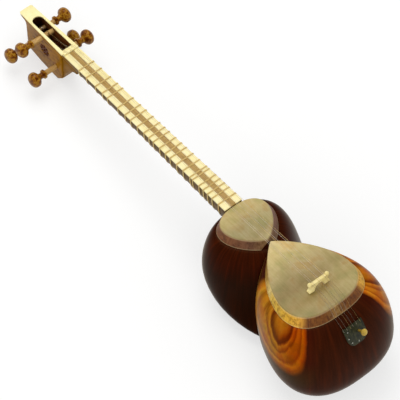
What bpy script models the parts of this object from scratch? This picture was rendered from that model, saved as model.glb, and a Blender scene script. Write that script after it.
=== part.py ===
"""Persian tar: a long-necked plucked lute with a double bowl, lying on its back.

Everything is modelled in the instrument's own frame: x runs along the strings from the bridge
towards the pegs, y points to the player's left seen from the tail, z stands out of the skins.
An empty then lays the whole instrument down on its bowl and on the back of its pegbox.
All values are in metres.
"""

import math

import bmesh
import bpy
import numpy as np
from mathutils import Matrix, Vector

# Clearances
GAP = 0.0003                # between pieces that touch
GLUE_LINE = 0.0003          # between the two carved halves of the body

# How far cutters run past what they cut
CUT_OVERRUN = 0.010
BEYOND = 0.5                # past the whole body

# Strings and neck
SCALE_LENGTH = 0.660        # bridge to nut
NECK_WIDTH_AT_NUT = 0.0318
NECK_WIDTH_AT_BODY = 0.0374
NECK_DEPTH_AT_NUT = 0.019
NECK_DEPTH_AT_BODY = 0.040
NECK_ROUNDNESS = 2.5        # exponent of the neck's back: 2 is a half ellipse, more is squarer
NECK_BACK_STEPS = 14
NECK_STATIONS = 9           # along the neck, so that its twisted faces stay close to the true taper
NECK_TOP = 0.001            # height of the neck's flat face over the rims of the bowls
TENON_LENGTH = 0.024        # tongue of the neck in the body
TENON_WIDTH = 0.018
TENON_HEIGHT = 0.020
TENON_DROP = 0.008          # from the neck's flat face down to the tenon
STRIP_THICKNESS = 0.003     # bone and walnut strips of the fingerboard
CENTRE_STRIP_SHARE = 0.30   # walnut strip's share of the fingerboard's width
NUT_LENGTH = 0.005
NUT_RISE = 0.0032           # nut's top over the fingerboard
NECK_PAST_NUT = 0.0045
HEEL_LENGTH = 0.041         # carved bracket under the nut
HEEL_WIDTH = 0.029
HEEL_HOLLOW = ((0.12, 0.74), (0.34, 0.44), (0.55, 0.20), (0.76, 0.07))  # shares of length and drop

# Frets: tied gut, placed by their interval over the open string, in cents
FRET_CENTS = (115, 175, 250, 310, 355, 450, 520, 575, 645, 715, 770, 820,
              895, 965, 1025, 1110, 1200, 1300, 1340, 1440, 1510, 1585, 1665, 1785)
CENTS_IN_OCTAVE = 1200
FRET_WIDTH = 0.0026
FRET_THICKNESS = 0.0009

# Bowls, along the centre line from the tail to the neck
TAIL_TO_BRIDGE = 0.0452
LARGE_SKIN_LENGTH = 0.1667
BETWEEN_SKINS = 0.0099
SMALL_SKIN_LENGTH = 0.0866
SKIN_TO_NECK = 0.0010

# Each bowl: plan outline of its skin, then how the wood swells and closes below it.
# The centre is measured from the bowl's tail, and the swell is a share of the skin's outline.
# Towards its tip a bowl is drawn in lengthwise and spread sideways, less so near its keel.
LARGE_BOWL = dict(
    tail=-TAIL_TO_BRIDGE, length=LARGE_SKIN_LENGTH, half_width=0.0723, tail_power=0.36, tip_power=0.87,
    centre=0.0784, swell=1.581, swell_depth=0.098, depth=0.1810, roundness=0.743, keel_shift=-0.0414,
    tail_fullness=0.41, lateness=1, tip_draw=0.72, tip_spread=0.30, draw_power=5.8)
SMALL_BOWL = dict(
    tail=LARGE_SKIN_LENGTH - TAIL_TO_BRIDGE + BETWEEN_SKINS, length=SMALL_SKIN_LENGTH,
    half_width=0.0460, tail_power=0.76, tip_power=0.40,
    centre=0.0652, swell=2.01, swell_depth=0.117, depth=0.1680, roundness=0.70, keel_shift=-0.088,
    tail_fullness=0.15, lateness=5, tip_draw=0.0, tip_spread=0.0, draw_power=1.0)
DRAW_END = 0.93             # share of a bowl's depth below which its tip isn't drawn in any more
BORDER_REACH = 0.0084       # skin glued over the rim, outwards
BORDER_DROP = 0.0155        # and downwards
WALL = 0.0055
RIM_SEGMENTS = 16           # along one side of a bowl's outline
SWELL_LEVELS = 4
KEEL_LEVELS = 6
SKIN_THICKNESS = 0.0007
NECK_BLOCK_LENGTH = 0.022   # solid wood left in the small bowl for the tenon
NECK_BLOCK_WIDTH = 0.046
NECK_BLOCK_DEPTH = 0.046

# Pegbox, its lengths measured from the end of the neck
PEGBOX_HALF_WIDTH = 0.0174  # at the neck
PEGBOX_FAR_HALF_WIDTH = 0.0137  # at the far end of the front plate
PEGBOX_BACK_DEPTH = 0.0797
PEGBOX_HEEL_DEPTH = 0.066
PEGBOX_LENGTH = 0.1027      # to the outer face of its end wall
PEGBOX_END_WALL = 0.0080
PEGBOX_HEEL_SLANT = 0.0142  # length of the slope from the heel down to the back
PEGBOX_BACK_LENGTH = 0.0181
PLATE_OVERHANG = 0.0195     # front plate beyond the end wall
PLATE_THICKNESS = 0.0025
PLATE_CORNER = 0.0045       # rounding of its far corners
END_BRACKET = ((1.0, 0.0), (0.70, 0.20), (0.25, 0.33), (0.06, 0.56), (0.0, 0.90))   # under the overhang
FOOT_SETBACK = 0.0115       # end wall to the flat that the pegbox lies on
FOOT_DEPTH = 0.0735
FOOT_LENGTH = 0.030
FOOT_CORNER = 0.0176        # height of the rounded corner between the end wall and the flat
SLOT_SETBACK = 0.0026
SLOT_HALF_WIDTH = 0.0106
SLOT_FLOOR = 0.0079         # wood under the slot
ROSETTE_SHARE = 0.5114      # of the slot's length from the nut
ROSETTE_DEPTH = 0.0340
ROSETTE_RADIUS = 0.0088
ROSETTE_PETALS = 8
PETAL_RADIUS = 0.0026
ROSETTE_EYE_RADIUS = 0.0036

# Pegs: place of the axis as a share of the slot's length from the nut, its depth, cheek to the
# middle of the head, and whether the head is on the left and the string runs on over the shaft
PEGS = {
    "peg_left_upper": dict(share=0.5907, depth=0.0070, reach=0.0420, left=True, over=True),
    "peg_left_far": dict(share=0.8806, depth=0.0422, reach=0.0481, left=True, over=True),
    "peg_left_near": dict(share=0.1672, depth=0.0495, reach=0.0467, left=True, over=False),
    "peg_right_far": dict(share=0.8426, depth=0.0190, reach=0.0368, left=False, over=False),
    "peg_right_near": dict(share=0.1498, depth=0.0225, reach=0.0374, left=False, over=True),
    "peg_right_lower": dict(share=0.5907, depth=0.0595, reach=0.0364, left=False, over=True),
}
# The peg of each string, string 1 being the leftmost at the bridge
STRING_PEGS = ("peg_left_near", "peg_left_far", "peg_left_upper",
               "peg_right_far", "peg_right_lower", "peg_right_near")
PEG_SHAFT_RADIUS = 0.0050
PEG_TIP_RADIUS = 0.0044
PEG_CLEARANCE = 0.0003
PEG_SEAT = 0.0028           # how far a shaft's tip enters the far cheek
PEG_HEAD_RADIUS = 0.0142
PEG_HEAD_LENGTH = 0.0200
PEG_COLLAR_RADIUS = 0.0088
PEG_COLLAR_LENGTH = 0.0075  # flared collar at the inner end of the head, with its cove
PEG_COLLAR_SETBACK = 0.0105 # start of the head to the middle of the collar
PEG_NECK_RADIUS = 0.0056
PEG_HEAD_PROFILE = ((0.15, 0.78), (0.32, 0.97), (0.52, 1.0), (0.72, 0.93), (0.90, 0.66), (1.0, 0.25))
PEG_SIDES = 20
WINDING_WIDTH = 0.0030
WINDING_THICKNESS = 0.0011

# Bridge
BRIDGE_HEIGHT = 0.0245      # top of its end knobs over the rims
BRIDGE_BEAM_TOP = 0.0205
BRIDGE_BEAM_DEPTH = 0.0065
BRIDGE_HALF_WIDTH = 0.0222
BRIDGE_KNOB_WIDTH = 0.0056
BRIDGE_FOOT_WIDTH = 0.0115
BRIDGE_FOOT_HEIGHT = 0.0035
BRIDGE_WAIST = 0.0035       # how far the ends are hollowed between foot and knob
BRIDGE_BASE_THICKNESS = 0.0085
BRIDGE_TOP_THICKNESS = 0.0034

# Tailpiece on the end of the large bowl: depths under the rim, then (sideways, below its top)
TAILPIECE_TOP_DEPTH = 0.0270
TAILPIECE_LENGTH = 0.0300
TAILPIECE_HALF_WIDTH = 0.0205
TAILPIECE_TIP_HALF_WIDTH = 0.0065
TAILPIECE_SIDE = -0.0040    # its middle, off the centre line
TAILPIECE_THICKNESS = 0.0024
NAIL_SPOTS = ((0.0100, 0.0056), (0.0126, 0.0148), (0.0092, 0.0230), (-0.0040, 0.0262))
NAIL_HEAD_RADIUS = 0.0013
NAIL_SHANK_RADIUS = 0.0006
NAIL_LENGTH = 0.0050
KNOB_SPOT = (-0.0110, 0.0128)
KNOB_SHANK_RADIUS = 0.0023
KNOB_SHANK_DEPTH = 0.0080
KNOB_REACH = 0.0168
KNOB_RADIUS = 0.0068
# Where the head begins on the bare shank, then its rings: (outwards, radius) as shares.
KNOB_HEAD_START = 0.26
KNOB_PROFILE = ((0.42, 0.55), (0.70, 0.95), (0.86, 1.00), (1.00, 0.62))

# Strings: half spacings of the three double courses
STRING_RADIUS = 0.0003
STRINGS_AT_BRIDGE = (0.0150, 0.0118, 0.0016, -0.0016, -0.0118, -0.0150)
STRINGS_AT_NUT = (0.0105, 0.0080, 0.0013, -0.0013, -0.0080, -0.0105)
STRINGS_ON_PEGS = (0.0078, 0.0040, 0.0010, -0.0030, -0.0040, -0.0078)
STRINGS_AT_TAIL = (0.0152, 0.0085, 0.0010, -0.0043, -0.0118, -0.0198)

# Sizes and places that follow from the values above
BOARD_TOP = NECK_TOP + GAP + STRIP_THICKNESS
PLATE_TOP = NECK_TOP + GAP + PLATE_THICKNESS
NUT_TOP = BOARD_TOP + NUT_RISE
SKIN_TOP = GAP + SKIN_THICKNESS
NECK_END = SMALL_BOWL["tail"] + SMALL_SKIN_LENGTH + SKIN_TO_NECK
NECK_REACH = SCALE_LENGTH + NUT_LENGTH + NECK_PAST_NUT
PEGBOX_START = NECK_REACH + GAP
WALL_END = PEGBOX_START + PEGBOX_LENGTH
PLATE_END = WALL_END + PLATE_OVERHANG
FOOT_X = WALL_END - FOOT_SETBACK
SLOT_START = PEGBOX_START + SLOT_SETBACK
SLOT_END = WALL_END - PEGBOX_END_WALL
SLOT_DEPTH = PEGBOX_BACK_DEPTH - SLOT_FLOOR


# Materials: name, colour (linear), roughness, metallic
FINISHES = {
    "mulberry": ((0.085, 0.018, 0.006), 0.25, 0.0),
    "skin": ((0.52, 0.42, 0.20), 0.55, 0.0),
    "walnut": ((0.16, 0.075, 0.028), 0.40, 0.0),
    "bone": ((0.86, 0.78, 0.50), 0.35, 0.0),
    "burl": ((0.26, 0.12, 0.03), 0.40, 0.0),
    "gut": ((0.70, 0.52, 0.22), 0.50, 0.0),
    "string_steel": ((0.55, 0.50, 0.46), 0.25, 1.0),
    "dark_tailpiece": ((0.03, 0.035, 0.022), 0.35, 0.0),
    "nail_steel": ((0.55, 0.54, 0.50), 0.30, 1.0),
}


def clear_scene():
    """Remove every object, and the meshes and curves that nothing uses any more."""
    for item in list(bpy.data.objects):
        bpy.data.objects.remove(item, do_unlink=True)
    for store in (bpy.data.meshes, bpy.data.curves, bpy.data.materials):
        for block in list(store):
            store.remove(block)


def finish(piece, name):
    """Give a piece its own Principled material in one of the finishes."""
    colour, roughness, metallic = FINISHES[name]
    material = bpy.data.materials.new(f"{name}_{piece.name}")
    material.use_nodes = True
    shader = material.node_tree.nodes["Principled BSDF"]
    shader.inputs["Base Color"].default_value = (*colour, 1.0)
    shader.inputs["Roughness"].default_value = roughness
    shader.inputs["Metallic"].default_value = metallic
    material.diffuse_color = (*colour, 1.0)
    piece.data.materials.clear()
    piece.data.materials.append(material)
    return piece


def make_piece(name, vertices, faces, smooth_angle=35.0):
    """Build one closed mesh object from points and faces, facing out."""
    mesh = bpy.data.meshes.new(name)
    mesh.from_pydata([tuple(point) for point in vertices], [], faces)
    shape = bmesh.new()
    shape.from_mesh(mesh)
    bmesh.ops.recalc_face_normals(shape, faces=shape.faces)
    shape.to_mesh(mesh)
    shape.free()
    mesh.shade_smooth()
    mesh.set_sharp_from_angle(angle=math.radians(smooth_angle))
    piece = bpy.data.objects.new(name, mesh)
    bpy.context.collection.objects.link(piece)
    return piece


def stack_rings(name, rings, close_ends=True, closed_loop=False, smooth_angle=35.0):
    """Skin a row of rings that have the same number of points into a closed mesh."""
    count = len(rings[0])
    vertices = [point for ring in rings for point in ring]
    faces = []
    last = len(rings) if closed_loop else len(rings) - 1
    for row in range(last):
        here = row * count
        there = ((row + 1) % len(rings)) * count
        for i in range(count):
            j = (i + 1) % count
            faces.append((here + i, here + j, there + j, there + i))
    if close_ends and not closed_loop:
        faces.append(tuple(range(count)))
        faces.append(tuple(range(len(vertices) - count, len(vertices))))
    return make_piece(name, vertices, faces, smooth_angle)


def prism(name, outline, start, end, axis):
    """Extrude a flat outline from start to end along axis 0 (x), 1 (y) or 2 (z)."""
    def place(point, level):
        spot = list(point)
        spot.insert(axis, level)
        return spot
    rings = [[place(point, level) for point in outline] for level in (start, end)]
    return stack_rings(name, rings)


def box(name, low, high):
    """Make an axis-aligned box between two corners."""
    outline = ((low[0], low[1]), (high[0], low[1]), (high[0], high[1]), (low[0], high[1]))
    return prism(name, outline, low[2], high[2], 2)


def turned(name, profile, sides, frame=Matrix.Identity(4), smooth_angle=35.0):
    """Turn a profile of (distance along z, radius) pairs about the frame's z axis."""
    rings = []
    for height, radius in profile:
        ring = []
        for i in range(sides):
            angle = 2 * math.pi * i / sides
            ring.append(frame @ Vector((radius * math.cos(angle), radius * math.sin(angle), height)))
        rings.append(ring)
    return stack_rings(name, rings, smooth_angle=smooth_angle)


def combine(target, cutter, operation, solver="EXACT"):
    """Apply one Boolean to the target and drop the cutter."""
    cut = target.modifiers.new("cut", "BOOLEAN")
    cut.operation = operation
    cut.object = cutter
    cut.solver = solver
    bpy.context.view_layer.update()
    evaluated = target.evaluated_get(bpy.context.evaluated_depsgraph_get())
    result = bpy.data.meshes.new_from_object(evaluated)
    target.modifiers.clear()
    target.data = result
    bpy.data.objects.remove(cutter, do_unlink=True)
    target.data.shade_smooth()
    target.data.set_sharp_from_angle(angle=math.radians(35.0))
    return target


def teardrop(share, tail_power, tip_power):
    """Half-width of a teardrop outline, as a share of its widest, from tail (0) to tip (1)."""
    widest = tail_power / (tail_power + tip_power)
    peak = widest ** tail_power * (1 - widest) ** tip_power
    return share ** tail_power * (1 - share) ** tip_power / peak


def sunk(bowl, down):
    """How far the bowl has changed from its skin's outline (0) to its keel's (1) at a depth."""
    return (down / bowl["depth"]) ** bowl["lateness"]


def bowl_outline(bowl, segments, down):
    """Points (x, y) of one side of a bowl at a depth, before swelling, closest at tail and tip.

    Below its skin the bowl gets fuller towards its tail.
    """
    share = (1 - np.cos(np.linspace(0, math.pi, segments + 1))) / 2
    tail_power = bowl["tail_power"] + (bowl["tail_fullness"] - bowl["tail_power"]) * sunk(bowl, down)
    along = bowl["tail"] + bowl["length"] * share
    side = bowl["half_width"] * teardrop(share, tail_power, bowl["tip_power"])
    side[0] = 0.0
    side[-1] = 0.0
    return along, side


def towards_tip(bowl, x, down):
    """How much the tip's own shape counts at x: 0 up to the centre, most at the tip, less near the keel."""
    ahead = np.clip((x - bowl["tail"] - bowl["centre"]) / (bowl["length"] - bowl["centre"]), 0.0, 1.0)
    drawn = max(1 - (down / (DRAW_END * bowl["depth"])) ** bowl["draw_power"], 0.0)
    return ahead ** 2 * (3 - 2 * ahead) * drawn


def swollen(bowl, x, scale, down):
    """x of a point of the outline after it is swollen about the bowl's centre and moved down."""
    centre = bowl["tail"] + bowl["centre"]
    grown = scale - 1
    if grown > 0:
        grown = grown * (1 - bowl["tip_draw"] * towards_tip(bowl, x, down))
    return centre + (x - centre) * (1 + grown) + bowl["keel_shift"] * sunk(bowl, down)


def spread(bowl, x, scale, down):
    """Factor by which a point of the outline at x moves sideways when it is swollen."""
    grown = scale - 1
    if grown > 0:
        grown = grown * (1 + bowl["tip_spread"] * towards_tip(bowl, x, down))
    return 1 + grown


def bowl_profile(bowl, inset, swell_levels, keel_levels):
    """Scale of the outline and its depth, from the rim down to the keel point.

    inset moves the whole profile inwards, for the hollow inside the wood.
    """
    shrink = inset / bowl["half_width"]
    rim = 1.0 - shrink
    border = 1.0 + BORDER_REACH / bowl["half_width"] - shrink
    widest = bowl["swell"] - shrink
    swell_depth = bowl["swell_depth"]
    depth = bowl["depth"] - inset
    turn = np.linspace(0, math.pi / 2, swell_levels + 1)
    swell = border + (widest - border) * np.sin(turn)
    swell_z = BORDER_DROP + (swell_depth - BORDER_DROP) * (1 - np.cos(turn))
    turn = np.linspace(0, math.pi / 2, keel_levels + 1)[1:]
    keel = widest * np.clip(np.cos(turn), 0.0, 1.0) ** bowl["roundness"]
    keel_z = swell_depth + (depth - swell_depth) * np.sin(turn) ** bowl["roundness"]
    keel[-1] = 0.0
    scale = np.concatenate([[rim], swell, keel])
    down = np.concatenate([[0.0], swell_z, keel_z])
    return scale, down


def bowl_ring(bowl, scale, down, lift=0.0):
    """One closed level of a bowl, swollen by scale about its centre and moved to its depth."""
    along, side = bowl_outline(bowl, RIM_SEGMENTS, down)
    x = swollen(bowl, along, scale, down)
    y = side * spread(bowl, along, scale, down)
    left =[(x[i], y[i], lift - down) for i in range(len(x))]
    right = [(x[i], -y[i], lift - down) for i in range(len(x) - 2, 0, -1)]
    return left + right


def bowl_solid(name, bowl, inset=0.0, lift=0.0):
    """A whole bowl as a solid, rim at the top and keel point at the bottom."""
    scales, depths = bowl_profile(bowl, inset, SWELL_LEVELS, KEEL_LEVELS)
    rings = [bowl_ring(bowl, scales[i], depths[i]) for i in range(len(scales) - 1)]
    if lift:
        rings.insert(0, [(x, y, lift) for x, y, z in rings[0]])
    count = len(rings[0])
    vertices = [point for ring in rings for point in ring]
    vertices.append((swollen(bowl, 0.0, 0.0, depths[-1]), 0.0, -depths[-1]))
    faces = [tuple(range(count))]
    for row in range(len(rings) - 1):
        for i in range(count):
            j = (i + 1) % count
            faces.append((row * count + i, row * count + j, (row + 1) * count + j, (row + 1) * count + i))
    last = (len(rings) - 1) * count
    for i in range(count):
        faces.append((last + i, last + (i + 1) % count, len(vertices) - 1))
    return make_piece(name, vertices, faces)


def keel_points():
    """Points (x, z) along the underside of both bowls, on the centre line."""
    points = []
    for bowl in (LARGE_BOWL, SMALL_BOWL):
        scales, depths = bowl_profile(bowl, 0.0, SWELL_LEVELS, KEEL_LEVELS)
        for scale, down in zip(scales, depths):
            for end in (bowl["tail"], bowl["tail"] + bowl["length"]):
                points.append((swollen(bowl, end, scale, down), -down))
    return points


def rest_tilt():
    """Angle by which the instrument tips until its pegbox and its bowl both lie on the table."""
    slopes = [(-z - FOOT_DEPTH) / (FOOT_X - x) for x, z in keel_points()]
    return math.atan(max(slopes))


def rest_height(tilt):
    """Height of the instrument's origin over the table."""
    return FOOT_X * math.sin(tilt) + FOOT_DEPTH * math.cos(tilt)


def large_bowl_tail_x(y, down):
    """x of the large bowl's outer face at its tail end, at this y and this depth."""
    levels, segments = 60, 400      # fine enough to seat the tailpiece on the curved wood
    scales, depths = bowl_profile(LARGE_BOWL, 0.0, levels, levels)
    scale = float(np.interp(down, depths, scales))
    along, side = bowl_outline(LARGE_BOWL, segments, down)
    widest = int(np.argmax(side))
    x = float(np.interp(abs(y) / scale, side[:widest], along[:widest]))
    return swollen(LARGE_BOWL, x, scale, down)


def large_bowl_tail_normal(y, down):
    """Direction straight out of the large bowl's tail end at this y and depth."""
    step = 0.001
    centre = Vector((large_bowl_tail_x(y, down), y, -down))
    across = Vector((large_bowl_tail_x(y + step, down), y + step, -down)) - centre
    below = Vector((large_bowl_tail_x(y, down + step), y, -down - step)) - centre
    normal = across.cross(below).normalized()
    return normal if normal.x < 0 else -normal


def on_tail(y, down, out):
    """Point standing off the large bowl's tail end by out."""
    return Vector((large_bowl_tail_x(y, down), y, -down)) + large_bowl_tail_normal(y, down) * out


def neck_half_width(x):
    """Half-width of the neck at x."""
    share = (x - NECK_END) / (SCALE_LENGTH - NECK_END)
    return (NECK_WIDTH_AT_BODY + (NECK_WIDTH_AT_NUT - NECK_WIDTH_AT_BODY) * share) / 2


def neck_depth(x):
    """Depth of the neck at x, from its flat face to its back."""
    share = (x - NECK_END) / (SCALE_LENGTH - NECK_END)
    return NECK_DEPTH_AT_BODY + (NECK_DEPTH_AT_NUT - NECK_DEPTH_AT_BODY) * share


def neck_back(x, grow):
    """Rounded back of the neck at x, from its left edge under it to its right edge."""
    width = neck_half_width(x) + grow
    depth = neck_depth(x) + grow
    power = 2.0 / NECK_ROUNDNESS
    points = []
    for i in range(NECK_BACK_STEPS + 1):
        turn = math.pi * i / NECK_BACK_STEPS
        cosine = math.cos(turn)
        y = width * math.copysign(abs(cosine) ** power, cosine)
        points.append((x, y, NECK_TOP - depth * max(math.sin(turn), 0.0) ** power))
    return points


def neck_solid(name, start, end, grow):
    """The neck between two ends, grown on every side, with stations that keep its taper smooth."""
    rings = []
    for x in np.linspace(start, end, NECK_STATIONS):
        ring = neck_back(x, grow)
        if grow:
            ring = [(x, ring[0][1], NECK_TOP + 0.02), *ring, (x, ring[-1][1], NECK_TOP + 0.02)]
        rings.append(ring)
    return stack_rings(name, rings)


def tenon_box(name, grow):
    """Tenon at the end of the neck, grown on every side and rooted a little in the neck."""
    root = 0.006
    half = TENON_WIDTH / 2 + grow
    top = NECK_TOP - TENON_DROP
    low = (NECK_END - TENON_LENGTH - grow, -half, top - TENON_HEIGHT - grow)
    return box(name, low, (NECK_END + root, half, top + grow))


def build_body():
    """Two carved halves, glued along the centre line, each with half of both bowls.

    The thin shell's last cuts graze it, and the manifold solver keeps them closed.
    """
    wood = bowl_solid("bowls", LARGE_BOWL)
    combine(wood, bowl_solid("small_bowl", SMALL_BOWL), "UNION")
    hollow = bowl_solid("hollow", LARGE_BOWL, WALL, CUT_OVERRUN)
    combine(hollow, bowl_solid("small_hollow", SMALL_BOWL, WALL, CUT_OVERRUN), "UNION")
    tip = SMALL_BOWL["tail"] + SMALL_SKIN_LENGTH
    block = box("neck_block", (tip - NECK_BLOCK_LENGTH, -NECK_BLOCK_WIDTH / 2, -NECK_BLOCK_DEPTH),
                (tip + NECK_BLOCK_LENGTH, NECK_BLOCK_WIDTH / 2, 2 * CUT_OVERRUN))
    combine(hollow, block, "DIFFERENCE")
    combine(wood, hollow, "DIFFERENCE")
    through = NECK_END + 2 * SMALL_BOWL["half_width"]
    combine(wood, neck_solid("neck_seat", NECK_END - GAP, through, GAP), "DIFFERENCE", "MANIFOLD")
    combine(wood, tenon_box("mortise", GAP), "DIFFERENCE", "MANIFOLD")
    drill_tail(wood)
    halves = []
    seam = GLUE_LINE / 2
    for name, low, high in (("body_left_half", seam, BEYOND), ("body_right_half", -BEYOND, -seam)):
        half = bpy.data.objects.new(name, wood.data.copy())
        bpy.context.collection.objects.link(half)
        side = box("side", (-BEYOND, low, -BEYOND), (BEYOND, high, BEYOND))
        combine(half, side, "INTERSECT", "MANIFOLD")
        halves.append(finish(half, "mulberry"))
    bpy.data.objects.remove(wood, do_unlink=True)
    return halves


def tail_frame(spot):
    """Frame on the tail end whose z axis points straight out of the wood.

    A spot is (sideways, below the top of the tailpiece).
    """
    y, down = spot[0], TAILPIECE_TOP_DEPTH + spot[1]
    normal = large_bowl_tail_normal(y, down)
    turn = normal.to_track_quat("Z", "Y").to_matrix().to_4x4()
    return Matrix.Translation(on_tail(y, down, 0.0)) @ turn


def drill_tail(piece):
    """Drill the holes of the nails and of the knob, wider than their shanks by the clearance."""
    drills = [(spot, NAIL_SHANK_RADIUS) for spot in NAIL_SPOTS] + [(KNOB_SPOT, KNOB_SHANK_RADIUS)]
    for spot, radius in drills:
        reach = 2 * CUT_OVERRUN
        profile = ((-reach, radius + GAP), (reach, radius + GAP))
        combine(piece, turned("drill", profile, 10, tail_frame(spot)), "DIFFERENCE", "MANIFOLD")


def build_skin(name, bowl, limit):
    """A stretched skin: flat over the rim, with its border glued down over the wood."""
    scales, depths = bowl_profile(bowl, 0.0, SWELL_LEVELS, KEEL_LEVELS)
    slope = math.hypot(BORDER_REACH, BORDER_DROP)
    rise = BORDER_REACH / slope
    spread = BORDER_DROP / slope

    def offset_ring(scale, down, out):
        widen = out * spread / bowl["half_width"]
        return bowl_ring(bowl, scale + widen, down, out * rise)

    corner = 0.0004
    inner = GAP + corner / 2
    outer = inner + SKIN_THICKNESS
    top_in = [(x, y, GAP) for x, y, z in offset_ring(scales[0], depths[0], inner)]
    top_out = [(x, y, SKIN_TOP) for x, y, z in offset_ring(scales[0], depths[0], outer - corner)]
    low_in = offset_ring(scales[1], depths[1], inner)
    low_out = offset_ring(scales[1], depths[1], outer)
    skin = stack_rings(name, [top_in, low_in, low_out, top_out])
    combine(skin, box("limit", limit[0], limit[1]), "INTERSECT")
    return finish(skin, "skin")


def build_skins():
    """Both skins. Their borders meet at the waist, and the small one is cut round the neck."""
    waist = SMALL_BOWL["tail"] - BETWEEN_SKINS / 2
    large = build_skin("skin_large", LARGE_BOWL,
                       ((-BEYOND, -BEYOND, -BEYOND), (waist - GAP / 2, BEYOND, BEYOND)))
    small = build_skin("skin_small", SMALL_BOWL,
                       ((waist + GAP / 2, -BEYOND, -BEYOND), (BEYOND, BEYOND, BEYOND)))
    combine(large, bowl_solid("neighbour", SMALL_BOWL, -2 * GAP), "DIFFERENCE")
    combine(small, bowl_solid("neighbour", LARGE_BOWL, -2 * GAP), "DIFFERENCE")
    half = NECK_WIDTH_AT_BODY / 2 + GAP
    notch = box("notch", (NECK_END - GAP, -half, -BEYOND), (BEYOND, half, BEYOND))
    combine(small, notch, "DIFFERENCE")
    finish(large, "skin")
    finish(small, "skin")
    return large, small


def heel_outline():
    """Side of the carved fin that stands under the nut, as (x, z), hollowed like a bracket."""
    top = NECK_TOP - NECK_DEPTH_AT_NUT * 0.6    # rooted well inside the neck
    bend = -NECK_DEPTH_AT_NUT
    fall = PEGBOX_HEEL_DEPTH - NECK_DEPTH_AT_NUT
    hollow = [(NECK_REACH - HEEL_LENGTH * along, bend - fall * down) for along, down in HEEL_HOLLOW]
    return [(NECK_REACH, top), (NECK_REACH, -PEGBOX_HEEL_DEPTH), *hollow, (NECK_REACH - HEEL_LENGTH, top)]


def build_neck():
    """Neck of walnut with its tenon at the body and a carved fin under the nut."""
    neck = neck_solid("neck", NECK_END, NECK_REACH, 0.0)
    combine(neck, tenon_box("tenon", 0.0), "UNION")
    fin = prism("fin", heel_outline(), -HEEL_WIDTH / 2, HEEL_WIDTH / 2, 1)
    combine(neck, fin, "UNION")
    return finish(neck, "walnut")


def fingerboard_strip(name, left, right, finish_name):
    """A strip on the neck's face between two shares of its half-width."""
    start, end = NECK_END, SCALE_LENGTH - GAP
    corners = []
    for x, side in ((start, left), (start, right), (end, right), (end, left)):
        share, setback = side
        corners.append((x, neck_half_width(x) * share + setback))
    return finish(prism(name, corners, NECK_TOP + GAP, BOARD_TOP, 2), finish_name)


def build_fingerboard():
    """Two bone strips with a walnut strip between them, and the bone nut behind."""
    edge = CENTRE_STRIP_SHARE
    slit = GAP / 2
    fingerboard_strip("fingerboard_bone_left", (1, 0), (edge, slit), "bone")
    fingerboard_strip("fingerboard_walnut_centre", (edge, -slit), (-edge, slit), "walnut")
    fingerboard_strip("fingerboard_bone_right", (-edge, -slit), (-1, 0), "bone")
    half = neck_half_width(SCALE_LENGTH)
    low = (SCALE_LENGTH, -half, NECK_TOP + GAP)
    nut = box("nut", low, (SCALE_LENGTH + NUT_LENGTH, half, NUT_TOP))
    finish(nut, "bone")


def fret_x(cents):
    """Distance from the bridge to a fret that raises the open string by this interval."""
    return SCALE_LENGTH * 2 ** (-cents / CENTS_IN_OCTAVE)


def fret_loop(x, out):
    """Path of a fret's gut round the neck and over the fingerboard, standing off by out."""
    back = neck_back(x, out)
    half = neck_half_width(x) + out
    top = BOARD_TOP + out
    round_off = 0.0005
    over = [(x, -half, top - round_off), (x, -half + round_off, top),
            (x, half - round_off, top), (x, half, top - round_off)]
    return back + over


def build_frets():
    """Each fret is a few turns of gut tied round the neck, so it can be pushed along it."""
    for number, cents in enumerate(FRET_CENTS, start=1):
        x = fret_x(cents)
        rings = []
        for end, out in ((-1, GAP), (1, GAP), (1, GAP + FRET_THICKNESS), (-1, GAP + FRET_THICKNESS)):
            rings.append(fret_loop(x + end * FRET_WIDTH / 2, out))
        fret = stack_rings(f"fret_{number:02d}", rings, closed_loop=True)
        finish(fret, "gut")


def pegbox_outline(tilt):
    """Side of the pegbox as (x, z), with the flat at the far end that lies on the table."""
    foot_far = (FOOT_X, -FOOT_DEPTH)
    foot_near = (FOOT_X - FOOT_LENGTH * math.cos(tilt), -FOOT_DEPTH - FOOT_LENGTH * math.sin(tilt))
    under = PLATE_OVERHANG - PLATE_THICKNESS
    bracket = [(WALL_END + under * out, NECK_TOP - under * down) for out, down in END_BRACKET]
    back = PEGBOX_START + PEGBOX_HEEL_SLANT
    return [
        (PEGBOX_START, NECK_TOP),
        *bracket,
        (WALL_END, -FOOT_DEPTH + FOOT_CORNER),
        (WALL_END - FOOT_SETBACK * 0.2, -FOOT_DEPTH + FOOT_CORNER * 0.56),
        foot_far,
        foot_near,
        (back + PEGBOX_BACK_LENGTH, -PEGBOX_BACK_DEPTH),
        (back, -PEGBOX_BACK_DEPTH),
        (PEGBOX_START, -PEGBOX_HEEL_DEPTH),
    ]


def slot_outline():
    """Side of the slot that holds the peg shafts, as (x, z), open at the front.

    Its floor follows the back of the pegbox and the heel.
    """
    return [
        (SLOT_START, 2 * CUT_OVERRUN),
        (SLOT_END, 2 * CUT_OVERRUN),
        (SLOT_END, -FOOT_DEPTH + FOOT_CORNER),
        (along_slot(0.87), -FOOT_DEPTH + SLOT_FLOOR * 0.85),
        (along_slot(0.74), -SLOT_DEPTH),
        (along_slot(0.25), -SLOT_DEPTH),
        (SLOT_START, -PEGBOX_HEEL_DEPTH + SLOT_FLOOR),
    ]


def along_slot(share):
    """x at a share of the slot's length, from the nut's end to the far end."""
    return SLOT_START + (SLOT_END - SLOT_START) * share


def head_side(peg):
    """+1 for a peg whose head is on the left, -1 for one on the right."""
    return 1 if peg["left"] else -1


def peg_axis(peg):
    """Place (x, z) of a peg's axis."""
    return along_slot(peg["share"]), -peg["depth"]


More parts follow.
